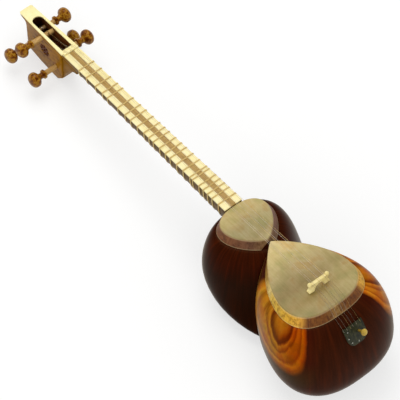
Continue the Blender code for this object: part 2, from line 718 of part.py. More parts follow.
def peg_frame(peg):
    """Frame on a peg's axis, its z axis pointing out of the pegbox towards the head."""
    side = head_side(peg)
    turn = Vector((0.0, side, 0.0)).to_track_quat("Z", "X").to_matrix().to_4x4()
    x, z = peg_axis(peg)
    return Matrix.Translation((x, side * PEGBOX_HALF_WIDTH, z)) @ turn


def shaft_length():
    """Length of a peg's shaft from the outer face of its own cheek to its tip."""
    return PEGBOX_HALF_WIDTH + SLOT_HALF_WIDTH + PEG_SEAT


def shaft_radius(inward):
    """Radius of the tapered shaft at this distance inwards from the near cheek's outer face."""
    return PEG_SHAFT_RADIUS + (PEG_TIP_RADIUS - PEG_SHAFT_RADIUS) * inward / shaft_length()


def pegbox_half_width(x):
    """Half-width of the pegbox at x: it narrows away from the neck."""
    share = (x - PEGBOX_START) / (PLATE_END - PEGBOX_START)
    return PEGBOX_HALF_WIDTH + (PEGBOX_FAR_HALF_WIDTH - PEGBOX_HALF_WIDTH) * share


def build_pegbox(tilt):
    """Walnut pegbox with its slot, six tapered peg holes and a pierced rosette in each cheek."""
    outline = pegbox_outline(tilt)
    cheeks = [[(x, side * pegbox_half_width(x), z) for x, z in outline] for side in (-1, 1)]
    pegbox = stack_rings("pegbox", cheeks)
    combine(pegbox, prism("slot", slot_outline(), -SLOT_HALF_WIDTH, SLOT_HALF_WIDTH, 1), "DIFFERENCE")
    for name, peg in PEGS.items():
        deep = shaft_length() + PEG_CLEARANCE
        profile = ((-deep, shaft_radius(deep) + PEG_CLEARANCE),
                   (CUT_OVERRUN, shaft_radius(-CUT_OVERRUN) + PEG_CLEARANCE))
        combine(pegbox, turned(f"hole_{name}", profile, PEG_SIDES, peg_frame(peg)), "DIFFERENCE")
    centre = Matrix.Translation((along_slot(ROSETTE_SHARE), 0.0, -ROSETTE_DEPTH))
    across = centre @ Matrix.Rotation(math.pi / 2, 4, "X")
    reach = PEGBOX_HALF_WIDTH + CUT_OVERRUN
    eye =turned("eye", ((-reach, ROSETTE_EYE_RADIUS), (reach, ROSETTE_EYE_RADIUS)), 12, across)
    combine(pegbox, eye, "DIFFERENCE")
    for i in range(ROSETTE_PETALS):
        angle = 2 * math.pi * i / ROSETTE_PETALS
        spot = Matrix.Translation((ROSETTE_RADIUS * math.cos(angle), ROSETTE_RADIUS * math.sin(angle), 0.0))
        petal = turned("petal", ((-reach, PETAL_RADIUS), (reach, PETAL_RADIUS)), 8, across @ spot)
        combine(pegbox, petal, "DIFFERENCE", "MANIFOLD")  # EXACT leaves one petal's wall open
    return finish(pegbox, "walnut")


def build_front_plate():
    """Bone plate on the pegbox, with the slot's opening rounded at its far end."""
    steps = 5
    start = SCALE_LENGTH + NUT_LENGTH + GAP
    outline = [(start, -pegbox_half_width(start))]
    for side in (-1, 1):
        for i in range(steps + 1):
            turn = math.pi / 2 * (i / steps if side < 0 else 1 - i / steps)
            x = PLATE_END - PLATE_CORNER * (1 - math.sin(turn))
            outline.append((x, side * (pegbox_half_width(x) - PLATE_CORNER * (1 - math.cos(turn)))))
    outline.append((start, pegbox_half_width(start)))
    plate = prism("pegbox_front_plate", outline, NECK_TOP + GAP, PLATE_TOP, 2)
    slot = [(SLOT_START, -SLOT_HALF_WIDTH)]
    arc = 8
    for i in range(arc + 1):
        turn = math.pi * i / arc - math.pi / 2
        slot.append((SLOT_END - SLOT_HALF_WIDTH * (1 - math.cos(turn)), SLOT_HALF_WIDTH * math.sin(turn)))
    slot.append((SLOT_START, SLOT_HALF_WIDTH))
    combine(plate, prism("slot", slot, -CUT_OVERRUN, 2 * CUT_OVERRUN, 2), "DIFFERENCE")
    return finish(plate, "bone")


def peg_profile(reach):
    """Turned peg from the tip of its shaft out to the end of its head: (outwards, radius)."""
    head = reach - PEG_HEAD_LENGTH / 2
    collar = head - PEG_COLLAR_SETBACK
    profile = [
        (-shaft_length(), PEG_TIP_RADIUS),
        (0.0, PEG_SHAFT_RADIUS),
        (collar - PEG_COLLAR_LENGTH * 0.40, PEG_SHAFT_RADIUS),
        (collar - PEG_COLLAR_LENGTH * 0.13, PEG_COLLAR_RADIUS),
        (collar + PEG_COLLAR_LENGTH * 0.20, PEG_COLLAR_RADIUS),
        (collar + PEG_COLLAR_LENGTH * 0.60, PEG_NECK_RADIUS),
        (head, PEG_NECK_RADIUS * 1.2),
    ]
    for along, width in PEG_HEAD_PROFILE:
        profile.append((head + PEG_HEAD_LENGTH * along, PEG_HEAD_RADIUS * width))
    return profile


def winding_bore(number):
    """Radius inside the turns of a string on its peg, and how far in they lie from the cheek."""
    peg = PEGS[STRING_PEGS[number - 1]]
    inward = PEGBOX_HALF_WIDTH - head_side(peg) * STRINGS_ON_PEGS[number - 1]
    return shaft_radius(inward - WINDING_WIDTH / 2) + GAP, inward


def build_pegs():
    """Six tapered pegs and the turns of string on each, all about the peg's own axis."""
    for number, name in enumerate(STRING_PEGS, start=1):
        peg = PEGS[name]
        body = turned(name, peg_profile(peg["reach"]), PEG_SIDES)
        body.matrix_world = peg_frame(peg)
        finish(body, "burl")
        bore, middle = winding_bore(number)
        outer = bore + WINDING_THICKNESS
        low, high = -middle - WINDING_WIDTH / 2, -middle + WINDING_WIDTH / 2
        rings = []
        for height, radius in ((low, bore), (high, bore), (high, outer), (low, outer)):
            turns = [2 * math.pi * i / PEG_SIDES for i in range(PEG_SIDES)]
            rings.append([(radius * math.cos(a), radius * math.sin(a), height) for a in turns])
        winding = stack_rings(f"winding_{number}", rings, closed_loop=True)
        winding.parent = body
        finish(winding, "string_steel")


def bridge_outline():
    """Front of the bridge as (y, z): two feet, an arch, a beam and two raised end knobs."""
    base = SKIN_TOP + GAP
    wide = BRIDGE_HALF_WIDTH
    knob = BRIDGE_KNOB_WIDTH
    round_off = knob / 4
    under = BRIDGE_BEAM_TOP - BRIDGE_BEAM_DEPTH
    right = [
        (-(wide - BRIDGE_FOOT_WIDTH), base),
        (-wide, base),
        (-wide, base + BRIDGE_FOOT_HEIGHT),
        (-wide + BRIDGE_WAIST, under),
        (-wide + round_off, (under + BRIDGE_BEAM_TOP) / 2),
        (-wide, BRIDGE_HEIGHT - 2 * round_off),
        (-wide + round_off, BRIDGE_HEIGHT),
        (-wide + knob - round_off, BRIDGE_HEIGHT),
        (-wide + knob, BRIDGE_BEAM_TOP),
    ]
    left = [(-y, z) for y, z in reversed(right)]
    arch_half = wide - BRIDGE_FOOT_WIDTH
    arch = []
    arc = 8
    for i in range(1, arc):
        turn = math.pi * i / arc
        arch.append((arch_half * math.cos(turn), base + (under - base) * math.sin(turn)))
    return right + left + arch


def bridge_thickness(z):
    """Thickness of the bridge along the strings, at this height."""
    base = SKIN_TOP + GAP
    share = (z - base) / (BRIDGE_HEIGHT - base)
    return BRIDGE_BASE_THICKNESS + (BRIDGE_TOP_THICKNESS - BRIDGE_BASE_THICKNESS) * share


def build_bridge():
    """Bone bridge standing on the large skin, thinner towards its top."""
    outline = bridge_outline()
    rings = [[(end * bridge_thickness(z) / 2, y, z) for y, z in outline] for end in (-1, 1)]
    return finish(stack_rings("bridge", rings), "bone")


def tailpiece_half_width(share):
    """Half-width of the tailpiece from its top (0) to its rounded lower end (1)."""
    if share < 0.5:
        return TAILPIECE_HALF_WIDTH
    drop = (share - 0.5) / 0.5
    wide, narrow = TAILPIECE_HALF_WIDTH, TAILPIECE_TIP_HALF_WIDTH
    return narrow + (wide - narrow) * math.sqrt(max(1 - drop ** 2, 0.0))


def build_tailpiece():
    """Dark plate bent over the tail of the large bowl, drilled for its nails and the knob."""
    rows, columns = 10, 8
    grids = []
    for out in (GAP, GAP + TAILPIECE_THICKNESS):
        grid = []
        for row in range(rows + 1):
            share = row / rows
            down = TAILPIECE_TOP_DEPTH + TAILPIECE_LENGTH * share
            half = tailpiece_half_width(share)
            sides = [TAILPIECE_SIDE + half * (2 * i / columns - 1) for i in range(columns + 1)]
            grid.append([on_tail(y, down, out) for y in sides])
        grids.append(grid)
    vertices = [point for grid in grids for row in grid for point in row]
    width = columns + 1
    block = (rows + 1) * width
    faces = []
    for row in range(rows):
        for i in range(columns):
            corner = row * width + i
            quad = (corner, corner + 1, corner + width + 1, corner + width)
            faces.append(quad)
            faces.append(tuple(block + number for number in reversed(quad)))
    edge = [i for i in range(width)]
    edge += [row * width + columns for row in range(1, rows)]
    edge += [rows * width + i for i in range(columns, -1, -1)]
    edge += [row * width for row in range(rows - 1, 0, -1)]
    for here, there in zip(edge, edge[1:] + edge[:1]):
        faces.append((there, here, block + here, block + there))
    plate = make_piece("tailpiece", vertices, faces)
    drill_tail(plate)
    finish(plate, "dark_tailpiece")


def build_tail_fasteners():
    """Four nails that hold the tailpiece, and the bone knob that stands out of it."""
    face = GAP + TAILPIECE_THICKNESS + GAP
    rim = NAIL_HEAD_RADIUS * 0.4
    for number, spot in enumerate(NAIL_SPOTS, start=1):
        profile = (
            (face - NAIL_LENGTH, NAIL_SHANK_RADIUS),
            (face, NAIL_SHANK_RADIUS),
            (face, NAIL_HEAD_RADIUS),
            (face + rim, NAIL_HEAD_RADIUS),
            (face + 2 * rim, NAIL_HEAD_RADIUS * 0.45),
        )
        finish(turned(f"tailpiece_nail_{number}", profile, 8, tail_frame(spot)), "nail_steel")
    profile = [
        (-KNOB_SHANK_DEPTH, KNOB_SHANK_RADIUS),
        (face + KNOB_REACH * KNOB_HEAD_START, KNOB_SHANK_RADIUS),
    ]
    for out, width in KNOB_PROFILE:
        profile.append((face + KNOB_REACH * out, KNOB_RADIUS * width))
    finish(turned("tail_knob", profile, 16, tail_frame(KNOB_SPOT)), "bone")


def string_over_tail(y):
    """Points of a string from the top of the tailpiece up the wood and over the skin's border."""
    lift = GAP + STRING_RADIUS
    over_skin = lift + 2 * GAP + SKIN_THICKNESS
    wood = TAILPIECE_TOP_DEPTH - BORDER_DROP
    levels = (
        (TAILPIECE_TOP_DEPTH - 2 * lift, lift),
        (BORDER_DROP + wood * 0.6, lift * 1.3),
        (BORDER_DROP + wood * 0.25, lift * 2),
        (BORDER_DROP, over_skin),
        (BORDER_DROP / 2, over_skin + GAP),
    )
    points = [on_tail(y, down, out) for down, out in levels]
    points.append(Vector((large_bowl_tail_x(y, 0.0) - lift, y, SKIN_TOP + 2 * lift)))
    return points


def string_route(number, peg):
    """Points of one string from the tailpiece over the bridge and the nut to its peg."""
    index = number - 1
    lift = GAP + STRING_RADIUS
    at_bridge = STRINGS_AT_BRIDGE[index]
    at_nut = STRINGS_AT_NUT[index]
    points = string_over_tail(STRINGS_AT_TAIL[index])
    for side in (-1, 1):
        over_beam = side * (bridge_thickness(BRIDGE_BEAM_TOP) / 2 + STRING_RADIUS)
        points.append(Vector((over_beam, at_bridge, BRIDGE_BEAM_TOP + lift)))
    nut_height = NUT_TOP + lift
    points.append(Vector((SCALE_LENGTH, at_nut, nut_height)))
    leave = Vector((SCALE_LENGTH + NUT_LENGTH, at_nut, nut_height))
    points.append(leave)
    wound = STRINGS_ON_PEGS[index]
    ring = winding_bore(number)[0] + WINDING_THICKNESS + lift
    edge = Vector((SLOT_START + lift, 0.0, PLATE_TOP + lift))
    start = leave
    target = peg_tangent(leave, peg, ring)
    share = (edge.x - leave.x) / (target.x - leave.x)
    if leave.z + (target.z - leave.z) * share < edge.z:
        edge.y = at_nut + (wound - at_nut) * share
        points.append(edge)
        start = edge
    target = peg_tangent(start, peg, ring)
    points.append(Vector((target.x, wound, target.z)))
    return points


def peg_tangent(start, peg, radius):
    """Where a straight string from start touches the turns on its peg."""
    x, z = peg_axis(peg)
    dx, dz = x - start.x, z - start.z
    distance = math.hypot(dx, dz)
    spread = math.asin(radius / distance)
    heading = math.atan2(dz, dx) + (spread if peg["over"] else -spread)
    length = math.sqrt(distance ** 2 - radius ** 2)
    return Vector((start.x + length * math.cos(heading), 0.0, start.z + length * math.sin(heading)))


def build_strings():
    """Six strings in three double courses, each a thin tube along its route."""
    for number, name in enumerate(STRING_PEGS, start=1):
        curve = bpy.data.curves.new(f"string_{number}", "CURVE")
        curve.dimensions = "3D"
        curve.bevel_depth = STRING_RADIUS
        curve.bevel_resolution = 1
        curve.use_fill_caps = True
        curve.resolution_u = 1
        spline = curve.splines.new("POLY")
        points = string_route(number, PEGS[name])
        spline.points.add(len(points) - 1)
        for spot, point in zip(spline.points, points):
            spot.co = (*point, 1.0)
        string = bpy.data.objects.new(f"string_{number}", curve)
        bpy.context.collection.objects.link(string)
        finish(string, "string_steel")


def lay_down(tilt):
    """Hang every piece on one empty, and tip that empty into the instrument's resting pose."""
    instrument = bpy.data.objects.new("instrument", None)
    bpy.context.collection.objects.link(instrument)
    for piece in list(bpy.data.objects):
        if piece is not instrument and piece.parent is None:
            piece.parent = instrument
    instrument.rotation_euler = (0.0, tilt, 0.0)
    instrument.location = (-middle_of_length(tilt), 0.0, rest_height(tilt))


def middle_of_length(tilt):
    """Middle of the tipped instrument, level with the table, from its tail to the pegbox plate."""
    tail = min(x * math.cos(tilt) + z * math.sin(tilt) for x, z in keel_points())
    far = PLATE_END * math.cos(tilt) + PLATE_TOP * math.sin(tilt)
    return (tail + far) / 2


def build_tar():
    """Build every piece, then lay the instrument down."""
    clear_scene()
    tilt = rest_tilt()
    build_body()
    build_skins()
    build_neck()
    build_fingerboard()
    build_frets()
    build_pegbox(tilt)
    build_front_plate()
    build_pegs()
    build_bridge()
    build_tailpiece()
    build_tail_fasteners()
    build_strings()
    lay_down(tilt)


build_tar()
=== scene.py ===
# %% [markdown]
# # Dressing a Persian tar
# A tar is a long-necked lute. Its body is two bowls carved from mulberry, and each mouth is covered
# with thin lambskin. A working model already holds every piece at its real size and knows what
# moves. This notebook gives each piece its fine shape and its finish, and leaves it in its place.

# %% Load the working model
import math

import bmesh
import bpy
import numpy as np
from mathutils import Matrix, Vector


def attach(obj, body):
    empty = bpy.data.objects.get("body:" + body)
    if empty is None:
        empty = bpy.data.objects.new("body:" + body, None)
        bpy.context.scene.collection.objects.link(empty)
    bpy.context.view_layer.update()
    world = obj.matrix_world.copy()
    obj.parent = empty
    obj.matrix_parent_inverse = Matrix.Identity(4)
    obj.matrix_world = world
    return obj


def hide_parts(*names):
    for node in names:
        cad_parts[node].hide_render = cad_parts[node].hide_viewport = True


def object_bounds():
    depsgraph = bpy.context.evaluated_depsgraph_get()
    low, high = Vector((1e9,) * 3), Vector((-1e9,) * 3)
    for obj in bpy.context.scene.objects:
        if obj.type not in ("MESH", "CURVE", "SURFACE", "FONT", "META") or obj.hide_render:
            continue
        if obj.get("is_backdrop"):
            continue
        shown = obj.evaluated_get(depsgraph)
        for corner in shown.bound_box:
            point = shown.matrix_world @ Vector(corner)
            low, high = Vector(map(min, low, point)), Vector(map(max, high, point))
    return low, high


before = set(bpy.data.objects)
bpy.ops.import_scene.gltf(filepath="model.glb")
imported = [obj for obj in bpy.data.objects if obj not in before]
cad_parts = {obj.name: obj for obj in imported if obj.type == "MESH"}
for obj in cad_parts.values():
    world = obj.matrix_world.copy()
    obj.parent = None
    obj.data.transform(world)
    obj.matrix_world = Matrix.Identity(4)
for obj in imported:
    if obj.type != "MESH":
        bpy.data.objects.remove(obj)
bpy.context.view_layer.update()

# %% [markdown]
# ## Thinking along the strings
# The instrument lies tipped on its round back, which makes its coordinates awkward. Luthiers think
# along the strings, so every shape here is drawn with x from the bridge to the pegs, y to the
# player's left and z out of the skins. One matrix then lays the finished mesh down in the model.

# %% One matrix lays the tar down
TILT = math.radians(8.388586)
BRIDGE_PLACE = Vector((-0.324817, 0.0, 0.183733))
LAID_DOWN = Matrix.Translation(BRIDGE_PLACE) @ Matrix.Rotation(TILT, 4, "Y")
GAP = 0.0003                # pieces that touch keep this clearance, as in the working model
print("the bridge stands", round(BRIDGE_PLACE.z * 1000), "mm above the table")

# %% [markdown]
# ## Meshes from rings
# Nearly every piece of a lute is a row of cross-sections: a bowl, a neck, a peg, a string. So one
# helper makes a mesh from points and faces, and another joins a row of rings into a closed surface.
# Bevels and Booleans are baked in at once, because later steps measure the finished shape.

# %% Make a mesh
def make_mesh(name, points, faces, sharp=35.0):
    """A closed mesh object, facing out, smooth except where it bends by more than sharp degrees."""
    mesh = bpy.data.meshes.new(name)
    mesh.from_pydata([tuple(point) for point in points], [], faces)
    shape = bmesh.new()
    shape.from_mesh(mesh)
    bmesh.ops.recalc_face_normals(shape, faces=shape.faces)
    shape.to_mesh(mesh)
    shape.free()
    piece = bpy.data.objects.new(name, mesh)
    bpy.context.scene.collection.objects.link(piece)
    return smooth(piece, sharp)


def smooth(piece, sharp=35.0):
    """Shade a piece smooth and keep its hard edges."""
    piece.data.shade_smooth()
    piece.data.set_sharp_from_angle(angle=math.radians(sharp))
    return piece


def join_rings(rings, loop=False):
    """Points and faces of the closed surface through a row of rings with equal counts."""
    count = len(rings[0])
    points = [point for ring in rings for point in ring]
    faces = []
    for row in range(len(rings) if loop else len(rings) - 1):
        here, there = row * count, (row + 1) % len(rings) * count
        for i in range(count):
            j = (i + 1) % count
            faces.append((here + i, here + j, there + j, there + i))
    if not loop:
        faces += [tuple(range(count)), tuple(range(len(points) - count, len(points)))]
    return points, faces


def from_rings(name, rings, loop=False, sharp=35.0):
    """A piece skinned over a row of rings."""
    return make_mesh(name, *join_rings(rings, loop), sharp)

# %% Bake modifiers in, and cut one piece with another
def bake(piece, sharp=35.0):
    """Replace a piece's mesh by what its modifiers make of it."""
    bpy.context.view_layer.update()
    seen = piece.evaluated_get(bpy.context.evaluated_depsgraph_get())
    piece.data = bpy.data.meshes.new_from_object(seen)
    piece.modifiers.clear()
    return smooth(piece, sharp)


def combine(piece, tool, operation="DIFFERENCE", solver="MANIFOLD"):
    """Cut, add or keep the overlap of a tool, which is used up."""
    cut = piece.modifiers.new("cut", "BOOLEAN")
    cut.operation, cut.object, cut.solver = operation, tool, solver
    bake(piece)
    bpy.data.objects.remove(tool, do_unlink=True)
    return piece


def ease_edges(piece, width, steps=2, angle=40.0):
    """Break the hard edges, as sandpaper does."""
    bevel = piece.modifiers.new("eased", "BEVEL")
    bevel.width, bevel.segments, bevel.limit_method = width, steps, "ANGLE"
    bevel.angle_limit = math.radians(angle)
    bevel.use_clamp_overlap = True
    return bake(piece, 50.0)

# %% Curves and prisms
def flowing(points, steps=6, closed=False):
    """A smooth curve through points of any dimension, with the points kept."""
    p = [np.array(point, float) for point in points]
    last = len(p) if closed else len(p) - 1
    curve = []
    for i in range(last):
        a, b = p[i], p[(i + 1) % len(p)]
        before = p[i - 1] if closed or i else 2 * a - b
        after = p[(i + 2) % len(p)] if closed or i + 2 < len(p) else 2 * b - a
        for t in np.arange(steps) / steps:
            curve.append(0.5 * (2 * a + (b - before) * t + (2 * before - 5 * a + 4 * b - after) * t ** 2
                                + (3 * a - before - 3 * b + after) * t ** 3))
    if not closed:
        curve.append(p[-1])
    return [tuple(point) for point in curve]


def inset(outline, distance):
    """A flat closed outline moved inwards by a small distance."""
    p = np.array(outline, float)
    ahead, behind = np.roll(p, -1, 0) - p, p - np.roll(p, 1, 0)
    ahead /= np.linalg.norm(ahead, axis=1)[:, None]
    behind /= np.linalg.norm(behind, axis=1)[:, None]
    turned_left = (p[:, 0] * np.roll(p, -1, 0)[:, 1] - np.roll(p, -1, 0)[:, 0] * p[:, 1]).sum() > 0
    side = 1 if turned_left else -1
    along = ahead + behind
    length = np.maximum(np.linalg.norm(along, axis=1), 0.6)[:, None]
    normal = np.stack([-along[:, 1], along[:, 0]], 1) * side
    return p + normal / length * distance * 2 / length


def eased_prism(name, outline, start, end, axis, ease, steps=3):
    """An outline extruded along an axis (0 x, 1 y, 2 z), its two rims rounded off."""
    rings = []
    turns = [math.pi / 2 * i / steps for i in range(steps + 1)]
    levels = [(start + ease * (1 - math.sin(t)), ease * (1 - math.cos(t))) for t in turns[::-1]]
    levels += [(end - ease * (1 - math.sin(t)), ease * (1 - math.cos(t))) for t in turns]
    for level, inwards in levels:
        rings.append([tuple(np.insert(point, axis, level)) for point in inset(outline, inwards)])
    return from_rings(name, rings)


def tube(points, radius, sides=8):
    """Rings of a round wire along a path."""
    p = [Vector(point) for point in points]
    rings = []
    across = None
    for i, point in enumerate(p):
        ahead = (p[min(i + 1, len(p) - 1)] - p[max(i - 1, 0)]).normalized()
        if across is None:
            across = ahead.orthogonal().normalized()
        across = (across - ahead * across.dot(ahead)).normalized()
        other = ahead.cross(across)
        rings.append([point + (across * math.cos(a) + other * math.sin(a)) * radius
                      for a in np.arange(sides) * 2 * math.pi / sides])
    return rings


def turned(name, profile, sides, place=Matrix.Identity(4), sharp=35.0):
    """A profile of (distance, radius) pairs turned on a lathe about the z axis of a place."""
    angles = np.arange(sides) * 2 * math.pi / sides
    rings = [[place @ Vector((r * math.cos(a), r * math.sin(a), h)) for a in angles] for h, r in profile]
    return from_rings(name, rings, sharp=sharp)

# %% [markdown]
# ## Giving a piece its place
# Each finished piece is laid down, rides on the body that it moves with, takes the place of the
# plain pieces of the working model, and takes the finish that it is given.

# %% Give a piece its place
def put_in_place(piece, finish, stands_for, body="instrument"):
    """Lay a piece down, let it ride on its body and stand for the plain pieces."""
    piece.data.transform(LAID_DOWN)
    parts = [face.material_index for face in piece.data.polygons]
    piece.data.materials.clear()
    for material in finish if isinstance(finish, list) else [finish]:
        piece.data.materials.append(material)
    if isinstance(finish, list):        # which faces have which of the finishes
        piece.data.polygons.foreach_set("material_index", parts)
    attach(piece, body)
    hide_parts(*stands_for)
    return piece

# %% [markdown]
# ## Finishes
# A finish is a small network of nodes. Colours are written as they look on a screen and turned to
# the linear values that the renderer works in. Patterns are measured in millimetres along the
# strings, so that the grain of a board runs the way the maker laid it.

# %% Colours and nodes
def linear(colour):
    """Linear red, green, blue and alpha of a screen colour such as #FFF3B5."""
    parts = [int(colour[i:i + 2], 16) / 255 for i in (1, 3, 5)]
    return (*[c / 12.92 if c <= 0.04045 else ((c + 0.055) / 1.055) ** 2.4 for c in parts], 1.0)


def node(tree, kind, inputs, stops=(), **settings):
    """Add a node (or take one that is there), with its settings, ramp stops, values and links."""
    made = tree.nodes.new("ShaderNode" + kind) if isinstance(kind, str) else kind
    for name, value in settings.items():
        setattr(made, name, value)
    if stops:
        band = made.color_ramp.elements
        band.remove(band[1])
        for place, colour in stops:
            here = band[0] if place == stops[0][0] else band.new(place)
            here.position = place
            here.color = linear(colour) if isinstance(colour, str) else (colour, colour, colour, 1)
    for name, value in inputs.items():
        socket = made.inputs[name] if isinstance(name, int) else next(
            s for s in made.inputs if s.name == name and s.enabled)
        if isinstance(value, bpy.types.Node):
            value = next(s for s in value.outputs if s.enabled)
        if isinstance(value, bpy.types.NodeSocket):
            tree.links.new(value, socket)
        else:
            socket.default_value = linear(value) if isinstance(value, str) else value
    return made


def open_finish(name, **numbers):
    """A new finish: its material, node tree, shader, and a vector in millimetres along the strings."""
    material = bpy.data.materials.new(name)
    material.use_nodes = True
    tree = material.node_tree
    shader = tree.nodes["Principled BSDF"]
    for socket, value in numbers.items():
        shader.inputs[socket.replace("_", " ")].default_value = value
    back = Matrix.Rotation(-TILT, 4, "Y")
    seen = node(tree, "TexCoord", {}).outputs["Object"]
    mm = node(tree, "Mapping", {"Vector": seen, "Location": back @ BRIDGE_PLACE * -1000,
                                "Rotation": (0, -TILT, 0), "Scale": (1000, 1000, 1000)})
    return material, tree, shader, mm

# %% [markdown]
# ### Mulberry
# The bowls are mulberry, carved, oiled and lacquered. Mulberry has dark red-brown heartwood and a
# thin jacket of golden sapwood. Where the carver's bowl runs out into that jacket, the sapwood
# shows as an orange flame, and the growth rings are cut into nested Vs. On this body the flames lie
# on both flanks of the large bowl, so they are drawn by heading and depth: the heading turns round
# the bowl as on a compass, from 0 at the neck to 180 at the tail.

# %% Heading round a bowl, and depth below its rim
LARGE_MIDDLE, SMALL_MIDDLE = 33.2, 172.0        # mm from the bridge


def heading_and_depth(tree, mm, middle, right_turn=0.0):
    """Degrees round a bowl from the neck's side, and millimetres below the rim."""
    part = node(tree, "SeparateXYZ", {"Vector": mm})
    side = node(tree, "Math", {0: part.outputs["Y"]}, operation="ABSOLUTE")
    along = node(tree, "Math", {0: part.outputs["X"], 1: middle}, operation="SUBTRACT")
    turn = node(tree, "Math", {0: side, 1: along}, operation="ARCTAN2")
    degrees = node(tree, "Math", {0: turn, 1: 180 / math.pi}, operation="MULTIPLY")
    on_right = node(tree, "Math", {0: part.outputs["Y"], 1: 0.0}, operation="LESS_THAN")
    heading = node(tree, "Math", {0: on_right, 1: right_turn, 2: degrees}, operation="MULTIPLY_ADD")
    return heading, node(tree, "Math", {0: part.outputs["Z"], 1: -1.0}, operation="MULTIPLY")

# %% Where the sapwood lies
FLAME_HEADING = 118.0               # degrees, the middle of the Vs
FLAME_TAILWARDS, FLAME_NECKWARDS = 22.0, 40.0       # degrees, from the middle to its two edges
FLAME_DEPTH = 87.0                  # mm below the rim
RIGHT_FLAME_TURN = -6.0             # degrees, the right flame lies a little nearer to the tail


def growth_ring(tree, mm, heading, depth):
    """Place in the rings of a flame: 0 in the middle of the Vs, 1 where the heartwood starts."""
    sway = node(tree, "TexNoise", {"Vector": mm, "Scale": 0.03, "Detail": 3.0})
    bent = node(tree, "Math", {0: sway, 1: 3.6, 2: heading}, operation="MULTIPLY_ADD")
    off = node(tree, "Math", {0: bent, 1: FLAME_HEADING + 1.8}, operation="SUBTRACT")
    tailwards = node(tree, "Math", {0: off, 1: FLAME_TAILWARDS}, operation="DIVIDE")
    near = node(tree, "Math", {0: off, 1: -FLAME_NECKWARDS}, operation="DIVIDE")
    far = node(tree, "Math", {0: near, 1: 0.40, 2: 0.33}, operation="MULTIPLY_ADD")     # the outer rings lie wider
    neckwards = node(tree, "Math", {0: near, 1: far}, operation="MINIMUM")
    a = node(tree, "Math", {0: tailwards, 1: neckwards}, operation="MAXIMUM")
    b = node(tree, "Math", {0: depth, 1: FLAME_DEPTH}, operation="DIVIDE")
    # The inner rings are pointed arches, the outer ones have an almost square end
    wide = node(tree, "Math", {0: a, 1: 2.0}, operation="MULTIPLY")
    deep = node(tree, "Math", {0: b, 1: 3.0}, operation="MULTIPLY")
    slope = node(tree, "VectorMath", {0: node(tree, "CombineXYZ", {"X": wide, "Y": deep})}, operation="LENGTH")
    arch = node(tree, "Math", {0: slope.outputs["Value"], 1: a}, operation="ADD")
    pointed = node(tree, "Math", {0: arch, 1: 3.0}, operation="DIVIDE")
    squareness = 3.6
    powers = [node(tree, "Math", {0: part, 1: squareness}, operation="POWER") for part in (a, b)]
    total = node(tree, "Math", {0: powers[0], 1: powers[1]}, operation="ADD")
    square = node(tree, "Math", {0: total, 1: 1 / squareness}, operation="POWER")
    outer = node(tree, "MapRange", {"Value": square, "From Min": 0.45, "From Max": 0.88},
                 interpolation_type="SMOOTHSTEP")
    return node(tree, "Mix", {"Factor": outer, "A": pointed, "B": square}, data_type="FLOAT")

# %% [markdown]
# ### Lacquer
# The wood is lacquered with an amber spirit varnish. Its clear coat mirrors the room only faintly
# where the wood faces the eye and more where it turns away, which a coat on the shader does by
# itself. Amber varnish warms what it mirrors, so the specular tint is amber too.

# %% Mulberry, lacquered
AMBER = linear("#FFB45A")


